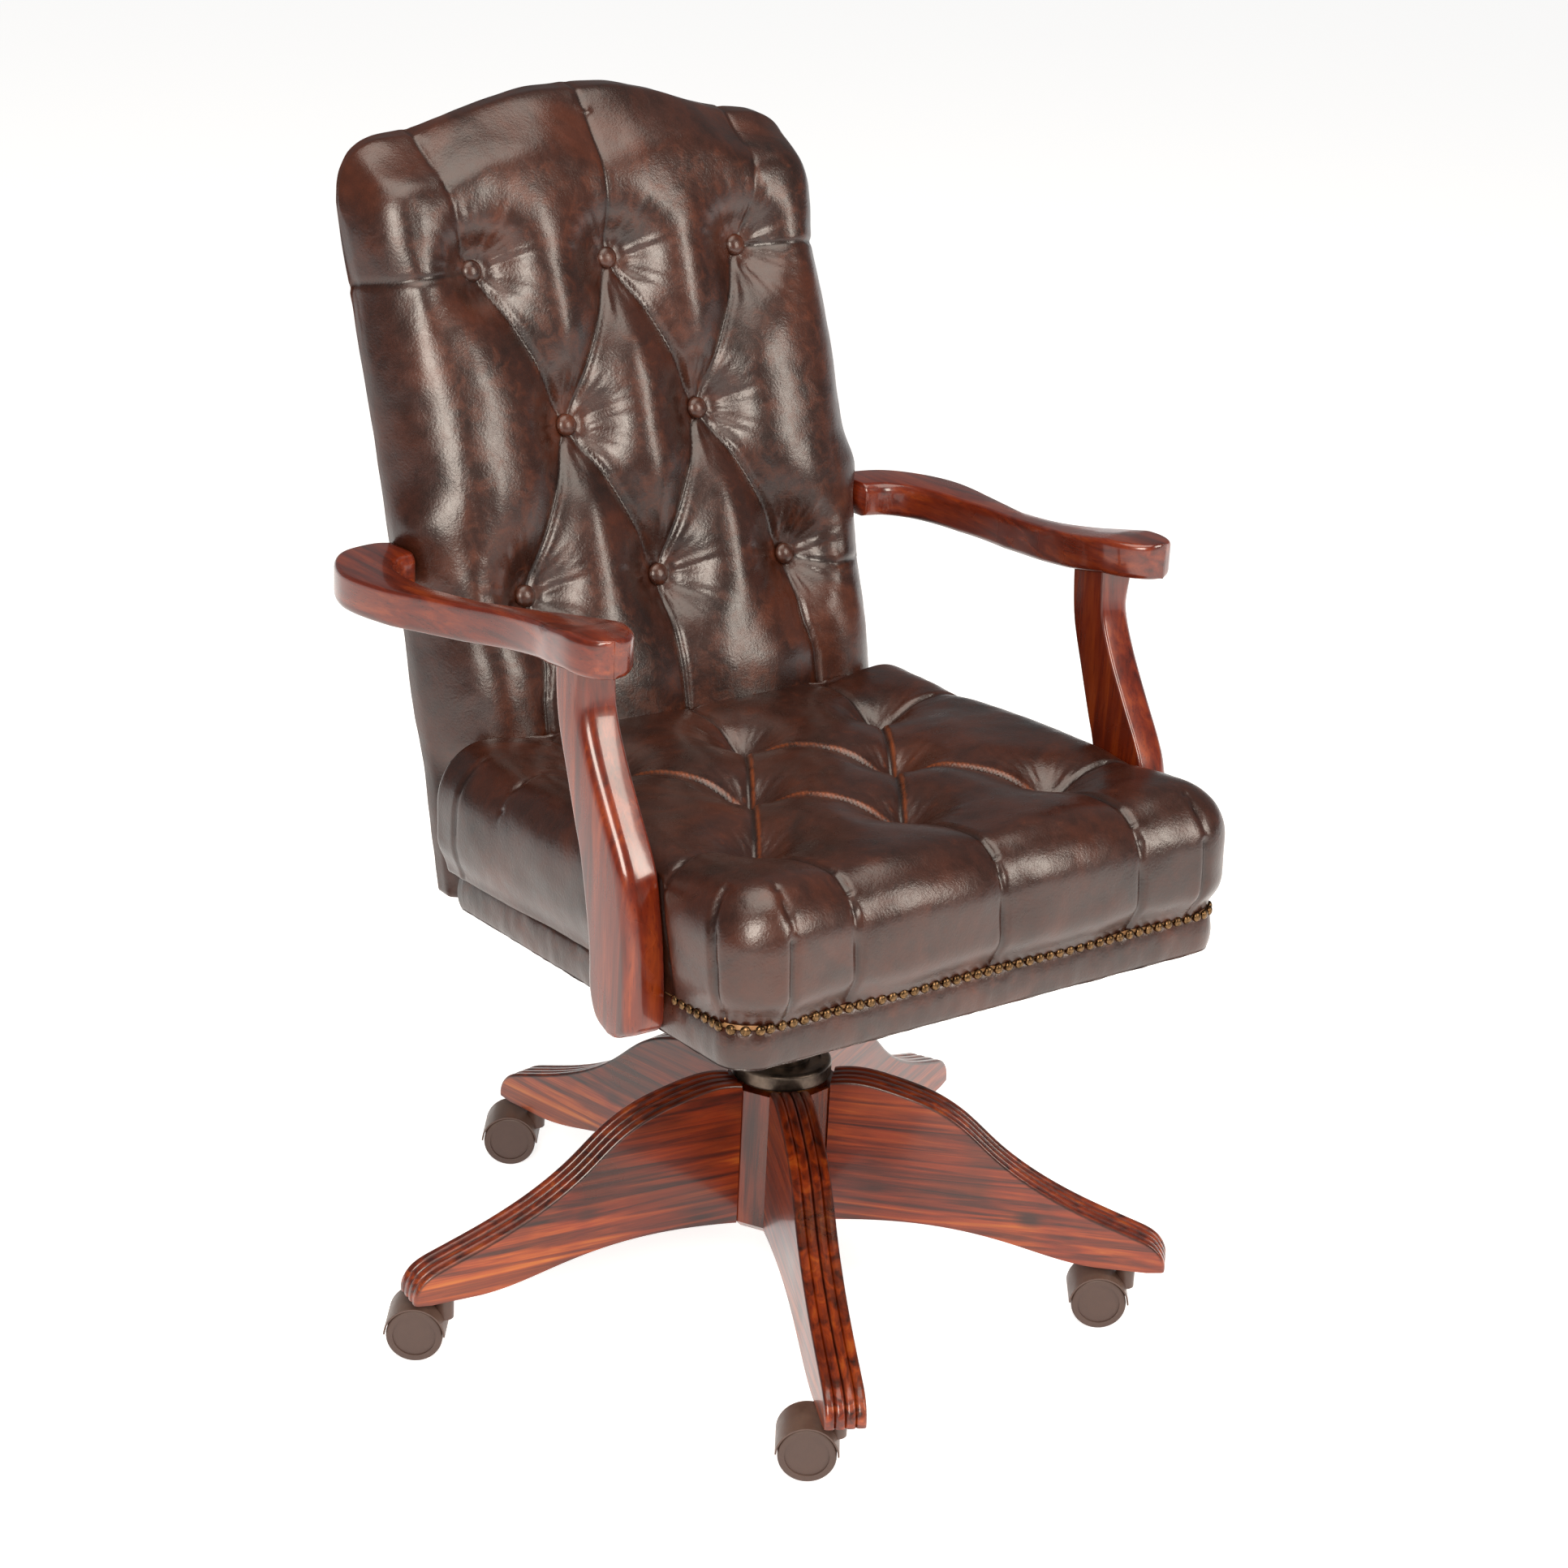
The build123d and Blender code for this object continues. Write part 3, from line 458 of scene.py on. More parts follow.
def write_mm(piece, points):
    piece.data.vertices.foreach_set("co", (points / 1000).ravel())
    piece.data.update()


def over_surface(offset, facing):
    """How far an offset reaches along the surface; what lies far above or below it is out."""
    height = (offset * facing).sum(1)
    level = np.linalg.norm(offset - height[:, None] * facing, axis=1)
    return level + 2 * np.maximum(np.abs(height) - 18, 0)


def from_line(points, facing, path):
    """Distance from each point to a polyline, how far along it the nearest place is,
    and on which side of it the point lies."""
    best = np.full(len(points), 1e9)
    share, hand = np.zeros(len(points)), np.zeros(len(points))
    path = np.asarray(path, float)
    lengths = np.linalg.norm(np.diff(path, axis=0), axis=1)
    done, whole = np.concatenate([[0], np.cumsum(lengths)]), lengths.sum()
    for k in range(len(lengths)):
        start, run = path[k], path[k + 1] - path[k]
        t = np.clip((points - start) @ run / (run @ run), 0, 1)
        offset = points - start - t[:, None] * run
        gap = over_surface(offset, facing)
        nearer = gap < best
        best[nearer] = gap[nearer]
        share[nearer] = (done[k] + t[nearer] * lengths[k]) / whole
        hand[nearer] = np.sign((np.cross(run, offset) * facing).sum(1))[nearer]
    return best, share, hand


def pulled_in(points, facing, ties, pleats, tie_reach, pleat_reach):
    """How deep the leather is drawn in at each point, in millimetres."""
    total = np.zeros(len(points))
    power = 2.6
    for at, depth in ties:
        gap = over_surface(points - np.asarray(at, float), facing)
        total += (depth * np.exp(-(gap / tie_reach) ** 1.35)) ** power
    for path, ends, middle in pleats:
        gap, share, _ = from_line(points, facing, path)
        bow = np.abs(2 * share - 1) ** 2.2
        depth = middle + (np.where(share < 0.5, *ends) - middle) * bow
        total += (np.maximum(depth, 0) * np.exp(-(gap / pleat_reach) ** 1.45)) ** power
    return total ** (1 / power)


swell_cap, fill_pressure = 9.0, 3.0      # millimetres, and the cloth solver's own unit


def settle(piece, held, cap, pressure):
    """Cloth pressure fills the cover between its ties for 20 frames; moves are capped."""
    before, _ = read_mm(piece)
    group = piece.vertex_groups.new(name="tied")
    group.add(np.nonzero(held)[0].tolist(), 1.0, "REPLACE")
    filling = piece.modifiers.new("filling", "CLOTH")
    setting = filling.settings
    setting.quality, setting.mass = 5, 0.5
    setting.tension_stiffness = setting.compression_stiffness = 25
    setting.shear_stiffness, setting.bending_stiffness = 12, 0.8
    setting.use_pressure, setting.uniform_pressure_force = True, pressure
    setting.vertex_group_mass = "tied"
    setting.effector_weights.gravity = 0
    filling.collision_settings.use_collision = False
    scene = bpy.context.scene
    frames = 20
    filling.point_cache.frame_start, filling.point_cache.frame_end = 1, frames
    for step in range(1, frames + 1):
        scene.frame_set(step)
    ready = piece.evaluated_get(bpy.context.evaluated_depsgraph_get())
    count = len(ready.data.vertices)
    after = np.zeros(count * 3)
    ready.data.vertices.foreach_get("co", after)
    piece.modifiers.remove(filling)
    piece.vertex_groups.remove(group)
    scene.frame_set(1)
    move = after.reshape(-1, 3) * 1000 - before
    far = np.linalg.norm(move, axis=1)
    move *= (np.minimum(far, cap) / np.maximum(far, 1e-6))[:, None]
    write_mm(piece, before + move)


def keep_rest(piece, points, facing):
    """Notes where each point lay before the buttoning, so that fine work can find it."""
    for name, values in (("rest", points), ("rest_facing", facing)):
        made = piece.data.attributes.new(name, "FLOAT_VECTOR", "POINT")
        made.data.foreach_set("vector", values.astype(np.float32).ravel())


def take_rest(piece):
    """The noted places and normals, cleared from the mesh."""
    found = []
    for name in ("rest", "rest_facing"):
        held = piece.data.attributes[name]
        values = np.zeros(len(piece.data.vertices) * 3, np.float32)
        held.data.foreach_get("vector", values)
        found.append(values.reshape(-1, 3).astype(float))
        piece.data.attributes.remove(held)
    return found


def subdivided(piece):
    """The piece with one level of smooth subdivision applied."""
    finer = piece.modifiers.new("finer", "SUBSURF")
    finer.levels = finer.render_levels = 1
    ready = piece.evaluated_get(bpy.context.evaluated_depsgraph_get())
    mesh = bpy.data.meshes.new_from_object(ready)
    piece.modifiers.remove(finer)
    old, piece.data = piece.data, mesh
    mesh.name = old.name
    bpy.data.meshes.remove(old)
    mesh.shade_smooth()


def creased(points, facing, rest, rest_facing, ties, creases, phase):
    """Fine work in the leather: sharp pleat lines, rays round the ties, loose ripples.

    Returns the moved points, a share of painted shade (along the pleats and round the ties) and
    rub shares."""
    move = np.zeros(len(points))
    fold, rub = np.zeros(len(points)), np.zeros(len(points))
    for path, depth, width, wear in creases:
        gap, share, hand = from_line(rest, rest_facing, path)
        fade = 0.45 + 0.55 * np.sin(np.pi * np.clip(share, 0.01, 0.99)) ** 0.4
        # one side of a pleat is tucked under the other, which stands a little proud
        tuck = np.exp(-(gap / 9) ** 1.5) * (1 - np.exp(-(gap / 1.8) ** 2))
        move += fade * (0.45 * depth * tuck * (hand > 0) - depth * np.exp(-(gap / width) ** 1.5))
        # painted shade along each pleat
        fold = np.maximum(fold, fade * np.exp(-(gap / (0.8 * width)) ** 2))
        rub = np.maximum(rub, wear * fade * np.exp(-((gap - 3.6) / 2.4) ** 2) * (hand > 0))
    for number, (at, depth) in enumerate(ties):
        offset = rest - np.asarray(at, float)
        gap = over_surface(offset, rest_facing)
        first = np.cross(rest_facing[np.argmin(gap)], (1.0, 0.0, 0.0))
        turn = np.arctan2(offset @ first, offset[:, 0])
        near = np.exp(-((gap - 20) / 13) ** 2) + 0.45 * np.exp(-((gap - 42) / 18) ** 2)
        rays = sum(np.sin(m * turn + phase * number * 1.7 + m + 0.05 * gap * (-1) ** m)
                   for m in (11, 17, 24, 33)) / 3
        rays = np.clip(rays, -1, 1)
        move += 0.024 * depth * near * rays
        # painted shade in the hollow round each tie
        fold = np.maximum(fold, 0.55 * np.exp(-(gap / 11) ** 2))
        rub = np.maximum(rub, 0.45 * near * np.clip(rays, 0, 1))
    ripple = np.array([noise.noise(Vector(p) / 55 + Vector((phase, 0, 0))) * 1.6
                       + noise.noise(Vector(p) / 17 + Vector((0, phase, 0))) * 0.30
                       for p in rest])
    return points + facing * (move + ripple)[:, None], fold, rub


def mark(piece, **shares):
    """Writes per-point attributes that the leather's colour reads."""
    for name, values in shares.items():
        made = piece.data.attributes.new(name, "FLOAT", "POINT")
        made.data.foreach_set("value", np.clip(values, 0, 1).astype(np.float32))


seat_rake, seat_front_y, seat_front_z = math.radians(2.9), -286.0, 391.0


def lay_seat(points):
    """Seat-level millimetres (x, depth from the front, height over the rail's foot) laid
    on the seat's rake, in the chair's frame."""
    x, y, z = np.asarray(points, float).T
    return np.stack([x, seat_front_y + y * math.cos(seat_rake) + z * math.sin(seat_rake),
                     seat_front_z - y * math.sin(seat_rake) + z * math.cos(seat_rake)], 1)


cushion_foot, cushion_top, cushion_rear, cushion_half = 35.0, 151.0, 449.0, 266.0
front_overhang, edge_round = 17.0, 50.0
seat_cells = (106, 92, 24)
corners, quads = block_grid(*seat_cells)
part = corners / np.array(seat_cells)
x = (2 * part[:, 0] - 1) * cushion_half
y = -front_overhang + part[:, 1] * (cushion_rear + front_overhang)
z = cushion_foot + part[:, 2] * (cushion_top - cushion_foot)
inner = np.stack([np.clip(x, edge_round - cushion_half, cushion_half - edge_round),
                  np.maximum(y, edge_round - front_overhang),
                  np.minimum(z, cushion_top - edge_round)], 1)
out = np.stack([x, y, z], 1) - inner
size = np.linalg.norm(out, axis=1)
out *= (np.abs(out).max(1) / np.maximum(size, 1e-6))[:, None]
shape = inner + out
# the cover is drawn in to the nail line at its foot and swells above it
draw = 10.0 * (1 - smooth(shape[:, 2], cushion_foot, cushion_foot + 34))
side = np.clip((np.abs(shape[:, 0]) - 180) / (cushion_half - 180), 0, 1)
ahead = np.clip((60 - shape[:, 1]) / (60 + front_overhang), 0, 1)
shape[:, 0] -= np.sign(shape[:, 0]) * draw * side
shape[:, 1] += (draw + 6 * (1 - smooth(shape[:, 2], cushion_foot, 60))) * ahead
# round the front corners it stays outside the frame's own corner
corner_x, corner_y, corner_clear = 227.0, 30.0, 29.2
spread = np.stack([np.abs(shape[:, 0]) - corner_x, shape[:, 1] - corner_y], 1)
reach = np.linalg.norm(spread, axis=1)
inside = (spread[:, 0] > 0) & (spread[:, 1] < 0) & (reach < corner_clear) & (part[:, 2] > 0) \
    & (shape[:, 2] < 70) & (reach > 15)
grow = np.where(inside, corner_clear / np.maximum(reach, 1), 1.0)
shape[:, 0] = np.sign(shape[:, 0]) * np.where(inside, corner_x + spread[:, 0] * grow,
                                              np.abs(shape[:, 0]))
shape[:, 1] = np.where(inside, corner_y + spread[:, 1] * grow, shape[:, 1])
# the posts press a hollow into each side
post_middle = 137 + (shape[:, 2] - 72) * 0.27
hollow = 1 - smooth(np.abs(shape[:, 1] - post_middle), 30, 62)
limit = cushion_half - 12.5 * hollow
shape[:, 0] = np.sign(shape[:, 0]) * np.minimum(np.abs(shape[:, 0]), limit)
seat_cushion = mesh_piece("seat_cushion_leather", lay_seat(shape), quads)

tie_height, seat_tie_depth = 150.0, 26
seat_ties = [(x, y, tie_height) for x, y in (
    (-155, 122), (0, 126), (155, 122), (-77, 240), (77, 240), (-150, 360), (0, 360), (150, 360))]


def on_seat(path):
    return lay_seat(np.array(path, float))


front_fall = ((-2, 118), (-15, 90), (-14, 60), (-6, 37))      # depth, height


def over_front(x0, x1):
    """A pleat from a front tie over the front edge down to the nails."""
    return [(x0, 122, 150), (x0 + 0.35 * (x1 - x0), 70, 152), (x1, 25, 146), (x1, 3, 132),
            *[(x1, y, z) for y, z in front_fall]]


seat_pleats = [
    ([seat_ties[5], seat_ties[3]], (20, 20), 11), ([seat_ties[3], seat_ties[0]], (20, 20), 11),
    ([seat_ties[6], seat_ties[3]], (20, 20), 11), ([seat_ties[6], seat_ties[4]], (20, 20), 11),
    ([seat_ties[7], seat_ties[4]], (20, 20), 11), ([seat_ties[3], seat_ties[1]], (20, 20), 11),
    ([seat_ties[4], seat_ties[1]], (20, 20), 11), ([seat_ties[4], seat_ties[2]], (20, 20), 11),
    (over_front(-155, -149), (20, 3), 7), (over_front(0, 0), (20, 3), 7),
    (over_front(155, 149), (20, 3), 7),
    ([(-150, 360, 150), (-152, 450, 150)], (20, 9), 8),
    ([(0, 360, 150), (0, 450, 150)], (20, 9), 8),
    ([(150, 360, 150), (152, 450, 150)], (20, 9), 8),
    ([(-155, 122, 150), (-215, 116, 148), (-256, 104, 126)], (20, 3), 6),
    ([(155, 122, 150), (215, 116, 148), (256, 104, 126)], (20, 3), 6),
    ([(-150, 360, 150), (-210, 356, 148), (-258, 350, 120)], (20, 4), 6),
    ([(150, 360, 150), (210, 356, 148), (258, 350, 120)], (20, 4), 6)]
seat_tie_depths = [(p, seat_tie_depth) for p in on_seat(seat_ties)]
seat_pleat_lines = [(on_seat(path), ends, middle) for path, ends, middle in seat_pleats]
points, facing = read_mm(seat_cushion)
keep_rest(seat_cushion, points, facing)
depth = pulled_in(points, facing, seat_tie_depths, seat_pleat_lines, 38, 30)
write_mm(seat_cushion, points - facing * depth[:, None])

tied = (part[:, 2] < 0.10) | (part[:, 1] > 0.97) | (hollow > 0.3)
tied |= pulled_in(points, facing, seat_tie_depths, seat_pleat_lines, 12, 5) > 5
settle(seat_cushion, tied, swell_cap, fill_pressure)
subdivided(seat_cushion)
points, facing = read_mm(seat_cushion)
rest, rest_facing = take_rest(seat_cushion)
seat_creases = [(path, 3.6, 3.0, 0.9 if ends[1] > 10 else 0.35)
                for path, ends, _ in seat_pleat_lines]
for side in (-1, 1):
    # the folded corner: a pleat each side of it, from the nails up and over
    for path in ([(side * 262, 22, 36), (side * 268, 20, 75), (side * 262, 26, 112),
                  (side * 240, 40, 138)],
                 [(side * 214, -9, 36), (side * 217, -17, 72), (side * 216, -10, 108),
                  (side * 214, 16, 136)]):
        seat_creases.append((on_seat(path), 4.0, 3.4, 0.3))
    # the seam near the back
    path = [(side * 250, 418, 36), (side * 262, 416, 80), (side * 258, 414, 120),
            (side * 236, 412, 146)]
    seat_creases.append((on_seat(path), 2.0, 2.4, 0.2))
points, fold, rub = creased(points, facing, rest, rest_facing, seat_tie_depths,
                            seat_creases, 0.37)
write_mm(seat_cushion, points)
top_share = smooth(facing[:, 2], 0.2, 0.9)
mark(seat_cushion, fold=fold, rub=np.maximum(rub, 0.30 * top_share))
seat_hide = hide("rubbed antique leather, seat", 0.85)
seat_cushion.data.materials.append(seat_hide)
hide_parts("seat_cushion")
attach(seat_cushion, "seat")

# ---- Rail leather and nails: a band of the same hide under a row of domed tacks ----
# The band is turned under the rails and tacked, so it puckers a little at every nail;
# the nails are brass-plated steel tacks in an antique finish, hammered 11 mm apart.
rail_half_front, rail_half_rear, rail_depth, rail_corner = 257.0, 247.0, 437.0, 30.0
nail_pitch, nail_height = 11.0, 34.5


def rail_half(depth):
    return rail_half_front + (rail_half_rear - rail_half_front) * depth / rail_depth


def rail_path(out, steps):
    """The rail's outline from the left rear corner round the front to the right rear."""
    right = [(rail_half(rail_depth) - 22, rail_depth + 1.5 + out),
             (rail_half(rail_depth) + out, rail_depth + 1.5 + out)]
    right += [(rail_half(y) + out, y) for y in np.linspace(rail_depth, rail_corner, steps)[1:]]
    centre_x = rail_half(0) - rail_corner
    for turn in np.radians(np.linspace(90, 0, 13)[1:]):
        right.append((centre_x + (rail_corner + out) * math.sin(turn),
                      rail_corner - (rail_corner + out) * math.cos(turn)))
    front = [(x, -out) for x in np.linspace(centre_x, -centre_x, 121)[1:-1]]
    whole = right + front + [(-x, y) for x, y in reversed(right)]
    return np.array(whole[::-1])


outer_path, band_rows = rail_path(0.0, 90), 13
band_bulge, band_high = 3.2, 33.4
section = [(-2.8, 1.5), (0.3, 0.8)]
section += [(band_bulge * math.sin(math.pi * t) ** 0.7 - 0.3, 0.3 + band_high * t)
            for t in np.linspace(0, 1, band_rows)]
section += [(-1.2, 34.2), (-2.6, 34.0), (-2.8, 3.0)]
along = np.concatenate([[0], np.cumsum(np.linalg.norm(np.diff(outer_path, axis=0), axis=1))])
band_points = []
for out, height in section:
    ring = rail_path(out, 90)
    for place, (x, y) in zip(along, ring):
        outward = np.array([x, y]) - (0, 220)
        outward /= np.linalg.norm(outward)
        wave = noise.noise(Vector((place / 9.0, height / 16.0, 3.1)))
        low = noise.noise(Vector((place / 26.0, 0.0, 8.3)))
        swell = (0.9 * wave + 1.0 * low) * (1 if out > -0.5 else 0)
        band_points.append((x + outward[0] * swell, y + outward[1] * swell,
                            height + (1.2 * low if height < 3 else 0)))
count = len(outer_path)
band_quads = [(r * count + c, r * count + c + 1, (r + 1) % len(section) * count + c + 1,
               (r + 1) % len(section) * count + c)
              for r in range(len(section)) for c in range(count - 1)]
ends = [[r * count for r in range(len(section))],
        [r * count + count - 1 for r in range(len(section))][::-1]]
rail_band = mesh_piece("rail_band_leather", lay_seat(band_points), band_quads + ends)
height_share = np.array(band_points)[:, 2] / 34
# painted shade: the band is darkened at its foot, where it turns under, and along its top, under
# the cushion
mark(rail_band, fold=np.clip(0.5 - 3 * height_share, 0, 0.5) + 0.25 * smooth(height_share, 0.9, 1),
     rub=0.35 * smooth(height_share, 0.2, 0.6))
rail_band.data.materials.append(hide("rubbed antique leather, rail band", 0.55))
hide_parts("rail_leather")
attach(rail_band, "seat")


def facing_out(piece):
    """Turns a closed mesh's faces outward."""
    work = bmesh.new()
    work.from_mesh(piece.data)
    bmesh.ops.recalc_face_normals(work, faces=work.faces)
    work.to_mesh(piece.data)
    work.free()


facing_out(rail_band)


def domes_on(name, places, facings, radius, rise, rings, finish):
    """Domed heads set on points by a node tree, as one plain mesh."""
    mesh = bpy.data.meshes.new(name)
    mesh.from_pydata((np.asarray(places) / 1000).tolist(), [], [])
    mesh.attributes.new("facing", "FLOAT_VECTOR", "POINT").data.foreach_set(
        "vector", np.asarray(facings, np.float32).ravel())
    piece = bpy.data.objects.new(name, mesh)
    bpy.context.scene.collection.objects.link(piece)
    tree = bpy.data.node_groups.new(name, "GeometryNodeTree")
    sockets = {}
    for label, kind in (("Geometry", "NodeSocketGeometry"), ("Head radius", "NodeSocketFloat"),
                        ("Head rise", "NodeSocketFloat"), ("Rings", "NodeSocketInt"),
                        ("Finish", "NodeSocketMaterial")):
        sockets[label] = tree.interface.new_socket(label, in_out="INPUT", socket_type=kind)
    tree.interface.new_socket("Geometry", in_out="OUTPUT", socket_type="NodeSocketGeometry")
    given = add(tree, "NodeGroupInput").outputs
    double = add(tree, "ShaderNodeMath", {0: given["Rings"], 1: 2.0}, operation="MULTIPLY")
    ball = add(tree, "GeometryNodeMeshUVSphere", {
        "Segments": double.outputs[0], "Rings": given["Rings"], "Radius": 1.0})
    flat = add(tree, "ShaderNodeCombineXYZ", {0: given["Head radius"], 1: given["Head radius"],
                                              2: given["Head rise"]})
    head = add(tree, "GeometryNodeTransform", {"Geometry": ball.outputs["Mesh"],
                                               "Scale": flat.outputs[0]})
    toward = add(tree, "GeometryNodeInputNamedAttribute", {"Name": "facing"},
                 data_type="FLOAT_VECTOR")
    turned = add(tree, "FunctionNodeAlignRotationToVector", {"Vector": toward.outputs[0]},
                 axis="Z")
    heads = add(tree, "GeometryNodeInstanceOnPoints", {
        "Points": given["Geometry"], "Instance": head.outputs[0],
        "Rotation": turned.outputs[0]})
    real = add(tree, "GeometryNodeRealizeInstances", {"Geometry": heads.outputs[0]})
    round_off = add(tree, "GeometryNodeSetShadeSmooth", {"Geometry": real.outputs[0]})
    coat = add(tree, "GeometryNodeSetMaterial", {"Geometry": round_off.outputs[0],
                                                 "Material": given["Finish"]})
    add(tree, "NodeGroupOutput", {0: coat.outputs[0]})
    setter = piece.modifiers.new("heads", "NODES")
    setter.node_group = tree
    for label, value in (("Head radius", radius / 1000), ("Head rise", rise / 1000),
                         ("Rings", rings), ("Finish", finish)):
        setter[sockets[label].identifier] = value
    ready = piece.evaluated_get(bpy.context.evaluated_depsgraph_get())
    made = bpy.data.meshes.new_from_object(ready)
    piece.modifiers.remove(setter)
    piece.data = made
    made.name = name
    bpy.data.meshes.remove(mesh)
    bpy.data.node_groups.remove(tree)
    return piece


nail_spots, nail_turns = [], []
straight = 2 * (rail_half_front - rail_corner)
nail_proud, corner_nails, last_nail = 0.8, 4, 104
front_count = int(straight // nail_pitch)
for k in range(front_count + 1):
    nail_spots.append(((k - front_count / 2) * nail_pitch, -nail_proud, nail_height))
    nail_turns.append((0, -1, 0))
for side in (-1, 1):
    for k in range(1, corner_nails + 1):
        turn = math.radians(90 * (k - 0.35) / corner_nails)
        nail_spots.append((side * (rail_half_front - rail_corner
                                   + (rail_corner + nail_proud) * math.sin(turn)),
                           rail_corner - (rail_corner + nail_proud) * math.cos(turn),
                           nail_height))
        nail_turns.append((side * math.sin(turn), -math.cos(turn), 0))
    for k in range(int((last_nail - rail_corner) // nail_pitch)):
        y = rail_corner + 5 + k * nail_pitch
        nail_spots.append((side * (rail_half(y) + nail_proud), y, nail_height))
        nail_turns.append((side, 0, 0))
tilted = lay_seat(np.array(nail_turns, float)) - lay_seat([(0, 0, 0)])
antique_brass = turned_metal("antique brass plate", "#40301f", "#927250", 1.0, 0.26, 320)
nails = domes_on("nail_heads", lay_seat(nail_spots), tilted, 4.4, 2.6, 8, antique_brass)
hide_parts("nail_trim")
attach(nails, "seat")

# ---- Back cushion: the same hide, deeply buttoned over a bent and humped frame ----
# The cover is one piece at the front, seamed to narrow side pieces above the arms.
# Twine through the frame's webbing holds eight buttons 40 mm down; pleats run between
# them in diamonds, over the top to the rear, and down to the seat.
back_foot, band_wide, rows_up = 366.0, 18.0, 128
rear_z = (364, 454, 520, 590, 678, 747, 812, 855, 893, 938, 980, 1012, 1050)
rear_y = (206, 228, 250, 267, 292, 314, 335, 352, 365, 380, 394, 402, 407)
crown_z = (364, 452, 480, 500, 550, 620, 700, 820, 940, 992, 1034, 1050)
crown_y = (152, 168, 173, 150, 160, 184, 213, 257, 303, 332, 372, 390)
top_x = (0, 45, 90, 130, 168, 200, 215, 228, 238, 243, 246)
top_z = (1045, 1042, 1033, 1021, 1012, 1008.5, 1004, 996, 982, 970, 955)


def back_shape(across, up, rear_share, faces):
    """Maps a block grid onto the back: width share, height share, depth share."""
    dense_x = np.interp(np.linspace(0, 1, 200), np.linspace(0, 1, len(top_x)), top_x)
    dense_z = np.interp(dense_x, top_x, top_z)
    run = np.concatenate([[0], np.cumsum(np.hypot(np.diff(dense_x), np.diff(dense_z)))])
    run /= run[-1]
    share = np.abs(across)
    x_top, z_top = np.interp(share, run, dense_x), np.interp(share, run, dense_z)
    z = back_foot + up * (z_top - back_foot)
    half = np.interp(z, (480, 673, 900, 955, 970, 982, 996, 1004, 1045),
                     (240, 245, 246, 246, 243, 238, 228, 216, 216))
    # the front face is spread by distance along the dome, the rear by width
    shift = (1045 - z_top) * smooth(z - z_top, -38, -2)
    rear = np.interp(z, rear_z, rear_y)
    crown = np.minimum(np.interp(z + shift, crown_z, crown_y), rear - 12)
    thick = rear - crown
    x = np.empty(len(z))
    y = np.empty(len(z))
    for n in range(len(z)):
        side_deep = min(band_wide, 0.42 * thick[n])
        d = np.array([0, 13, 28, 46, 75, 110, half[n]])
        f = np.array([0, 0.52, 0.74, 0.90, 0.98, 0.995, 1.0]) * thick[n]
        f[0] = side_deep
        if faces[n] == "front":
            steps = np.concatenate([[0], np.cumsum(np.hypot(np.diff(d), np.diff(f)))])
            even = (1 - share[n]) * steps[-1]
            inward = np.interp(even, steps, d)
            y[n] = rear[n] - np.interp(inward, d, f)
        else:
            inward = (1 - share[n]) * half[n]
            front_y = np.interp(inward, d, f)
            y[n] = rear[n] - (1 - rear_share[n]) * front_y
        x[n] = half[n] - inward
    blend_top = smooth(up, 0.72, 1.0)
    x = (1 - blend_top) * x + blend_top * x_top
    return np.stack([np.sign(across) * x, y, z], 1)


wide, deep = 104, 10
corners, quads = block_grid(wide, deep, rows_up)
across = 2 * corners[:, 0] / wide - 1
depth_share = corners[:, 1] / deep
up = corners[:, 2] / rows_up
faces = np.where(corners[:, 1] == 0, "front", "other")
shape = back_shape(across, up, depth_share, faces)
links = np.array(sorted({tuple(sorted((q[k], q[(k + 1) % 4]))) for q in quads
                         for k in range(4)}))
held_flat = (corners[:, 1] == deep) | (corners[:, 2] == 0)


def relaxed(points, links, weight, times):
    """Evens out a mesh by moving points towards the middle of their neighbours."""
    for _ in range(times):
        total = np.zeros_like(points)
        number = np.zeros(len(points))
        np.add.at(total, links[:, 0], points[links[:, 1]])
        np.add.at(total, links[:, 1], points[links[:, 0]])
        np.add.at(number, links.ravel(), 1)
        points = points + weight[:, None] * (total / number[:, None] - points)
    return points


shape = relaxed(shape, links, np.where(held_flat, 0.0, 0.5), 6)
back_cushion = mesh_piece("back_cushion_leather", shape, quads)

button_out = np.array((0, -0.9366, 0.3502))
button_rows = ((229.0, 622.5), (279.7, 758.9), (330.4, 895.3))
button_spots = [(x, *row) for row, columns in zip(
    button_rows, ((-142.5, 0, 142.5), (-71.25, 71.25), (-142.5, 0, 142.5))) for x in columns]
button_spots = np.array(button_spots, float)


def crown_over(x, z):
    """The undented front of the back at a width and height."""
    half = np.interp(z, (480, 673, 900), (240, 245, 246))
    rear, crown = np.interp(z, rear_z, rear_y), np.interp(z, crown_z, crown_y)
    share = np.interp(half - abs(x), (0, 13, 28, 46, 75, half), (0, 0.52, 0.74, 0.9, 0.98, 1))
    return np.array((x, rear - share * (rear - crown), z))


over = []
for spot in button_spots:
    at = spot
    for _ in range(4):
        at = crown_over(spot[0], at[2])
        reach = (at - spot) @ button_out
        at = spot + reach * button_out
    over.append(at)
low_left, low_mid, low_right, mid_left, mid_right, top_left, top_mid, top_right = over
button_deep = [max(6.0, (at - spot) @ button_out - 2.0) for at, spot in zip(over, button_spots)]


def on_back(*pairs):
    return [crown_over(x, z) for x, z in pairs]


def between(a, b):
    """A straight pleat between two ties, following the crown."""
    return [a] + [crown_over(a[0] + t * (b[0] - a[0]), a[2] + t * (b[2] - a[2]))
                  for t in (0.25, 0.5, 0.75)] + [b]


def over_top(tie, x):
    """A pleat from a top button up over the ridge to the rear."""
    ridge = np.interp(abs(x), top_x, top_z)
    return [tie, *on_back((tie[0] + 0.5 * (x - tie[0]), ridge - 85)),
            np.array((x, 357 - 0.10 * (1045 - ridge), ridge - 26)),
            np.array((x, 382, ridge - 4)), np.array((x, 402, ridge - 3))]


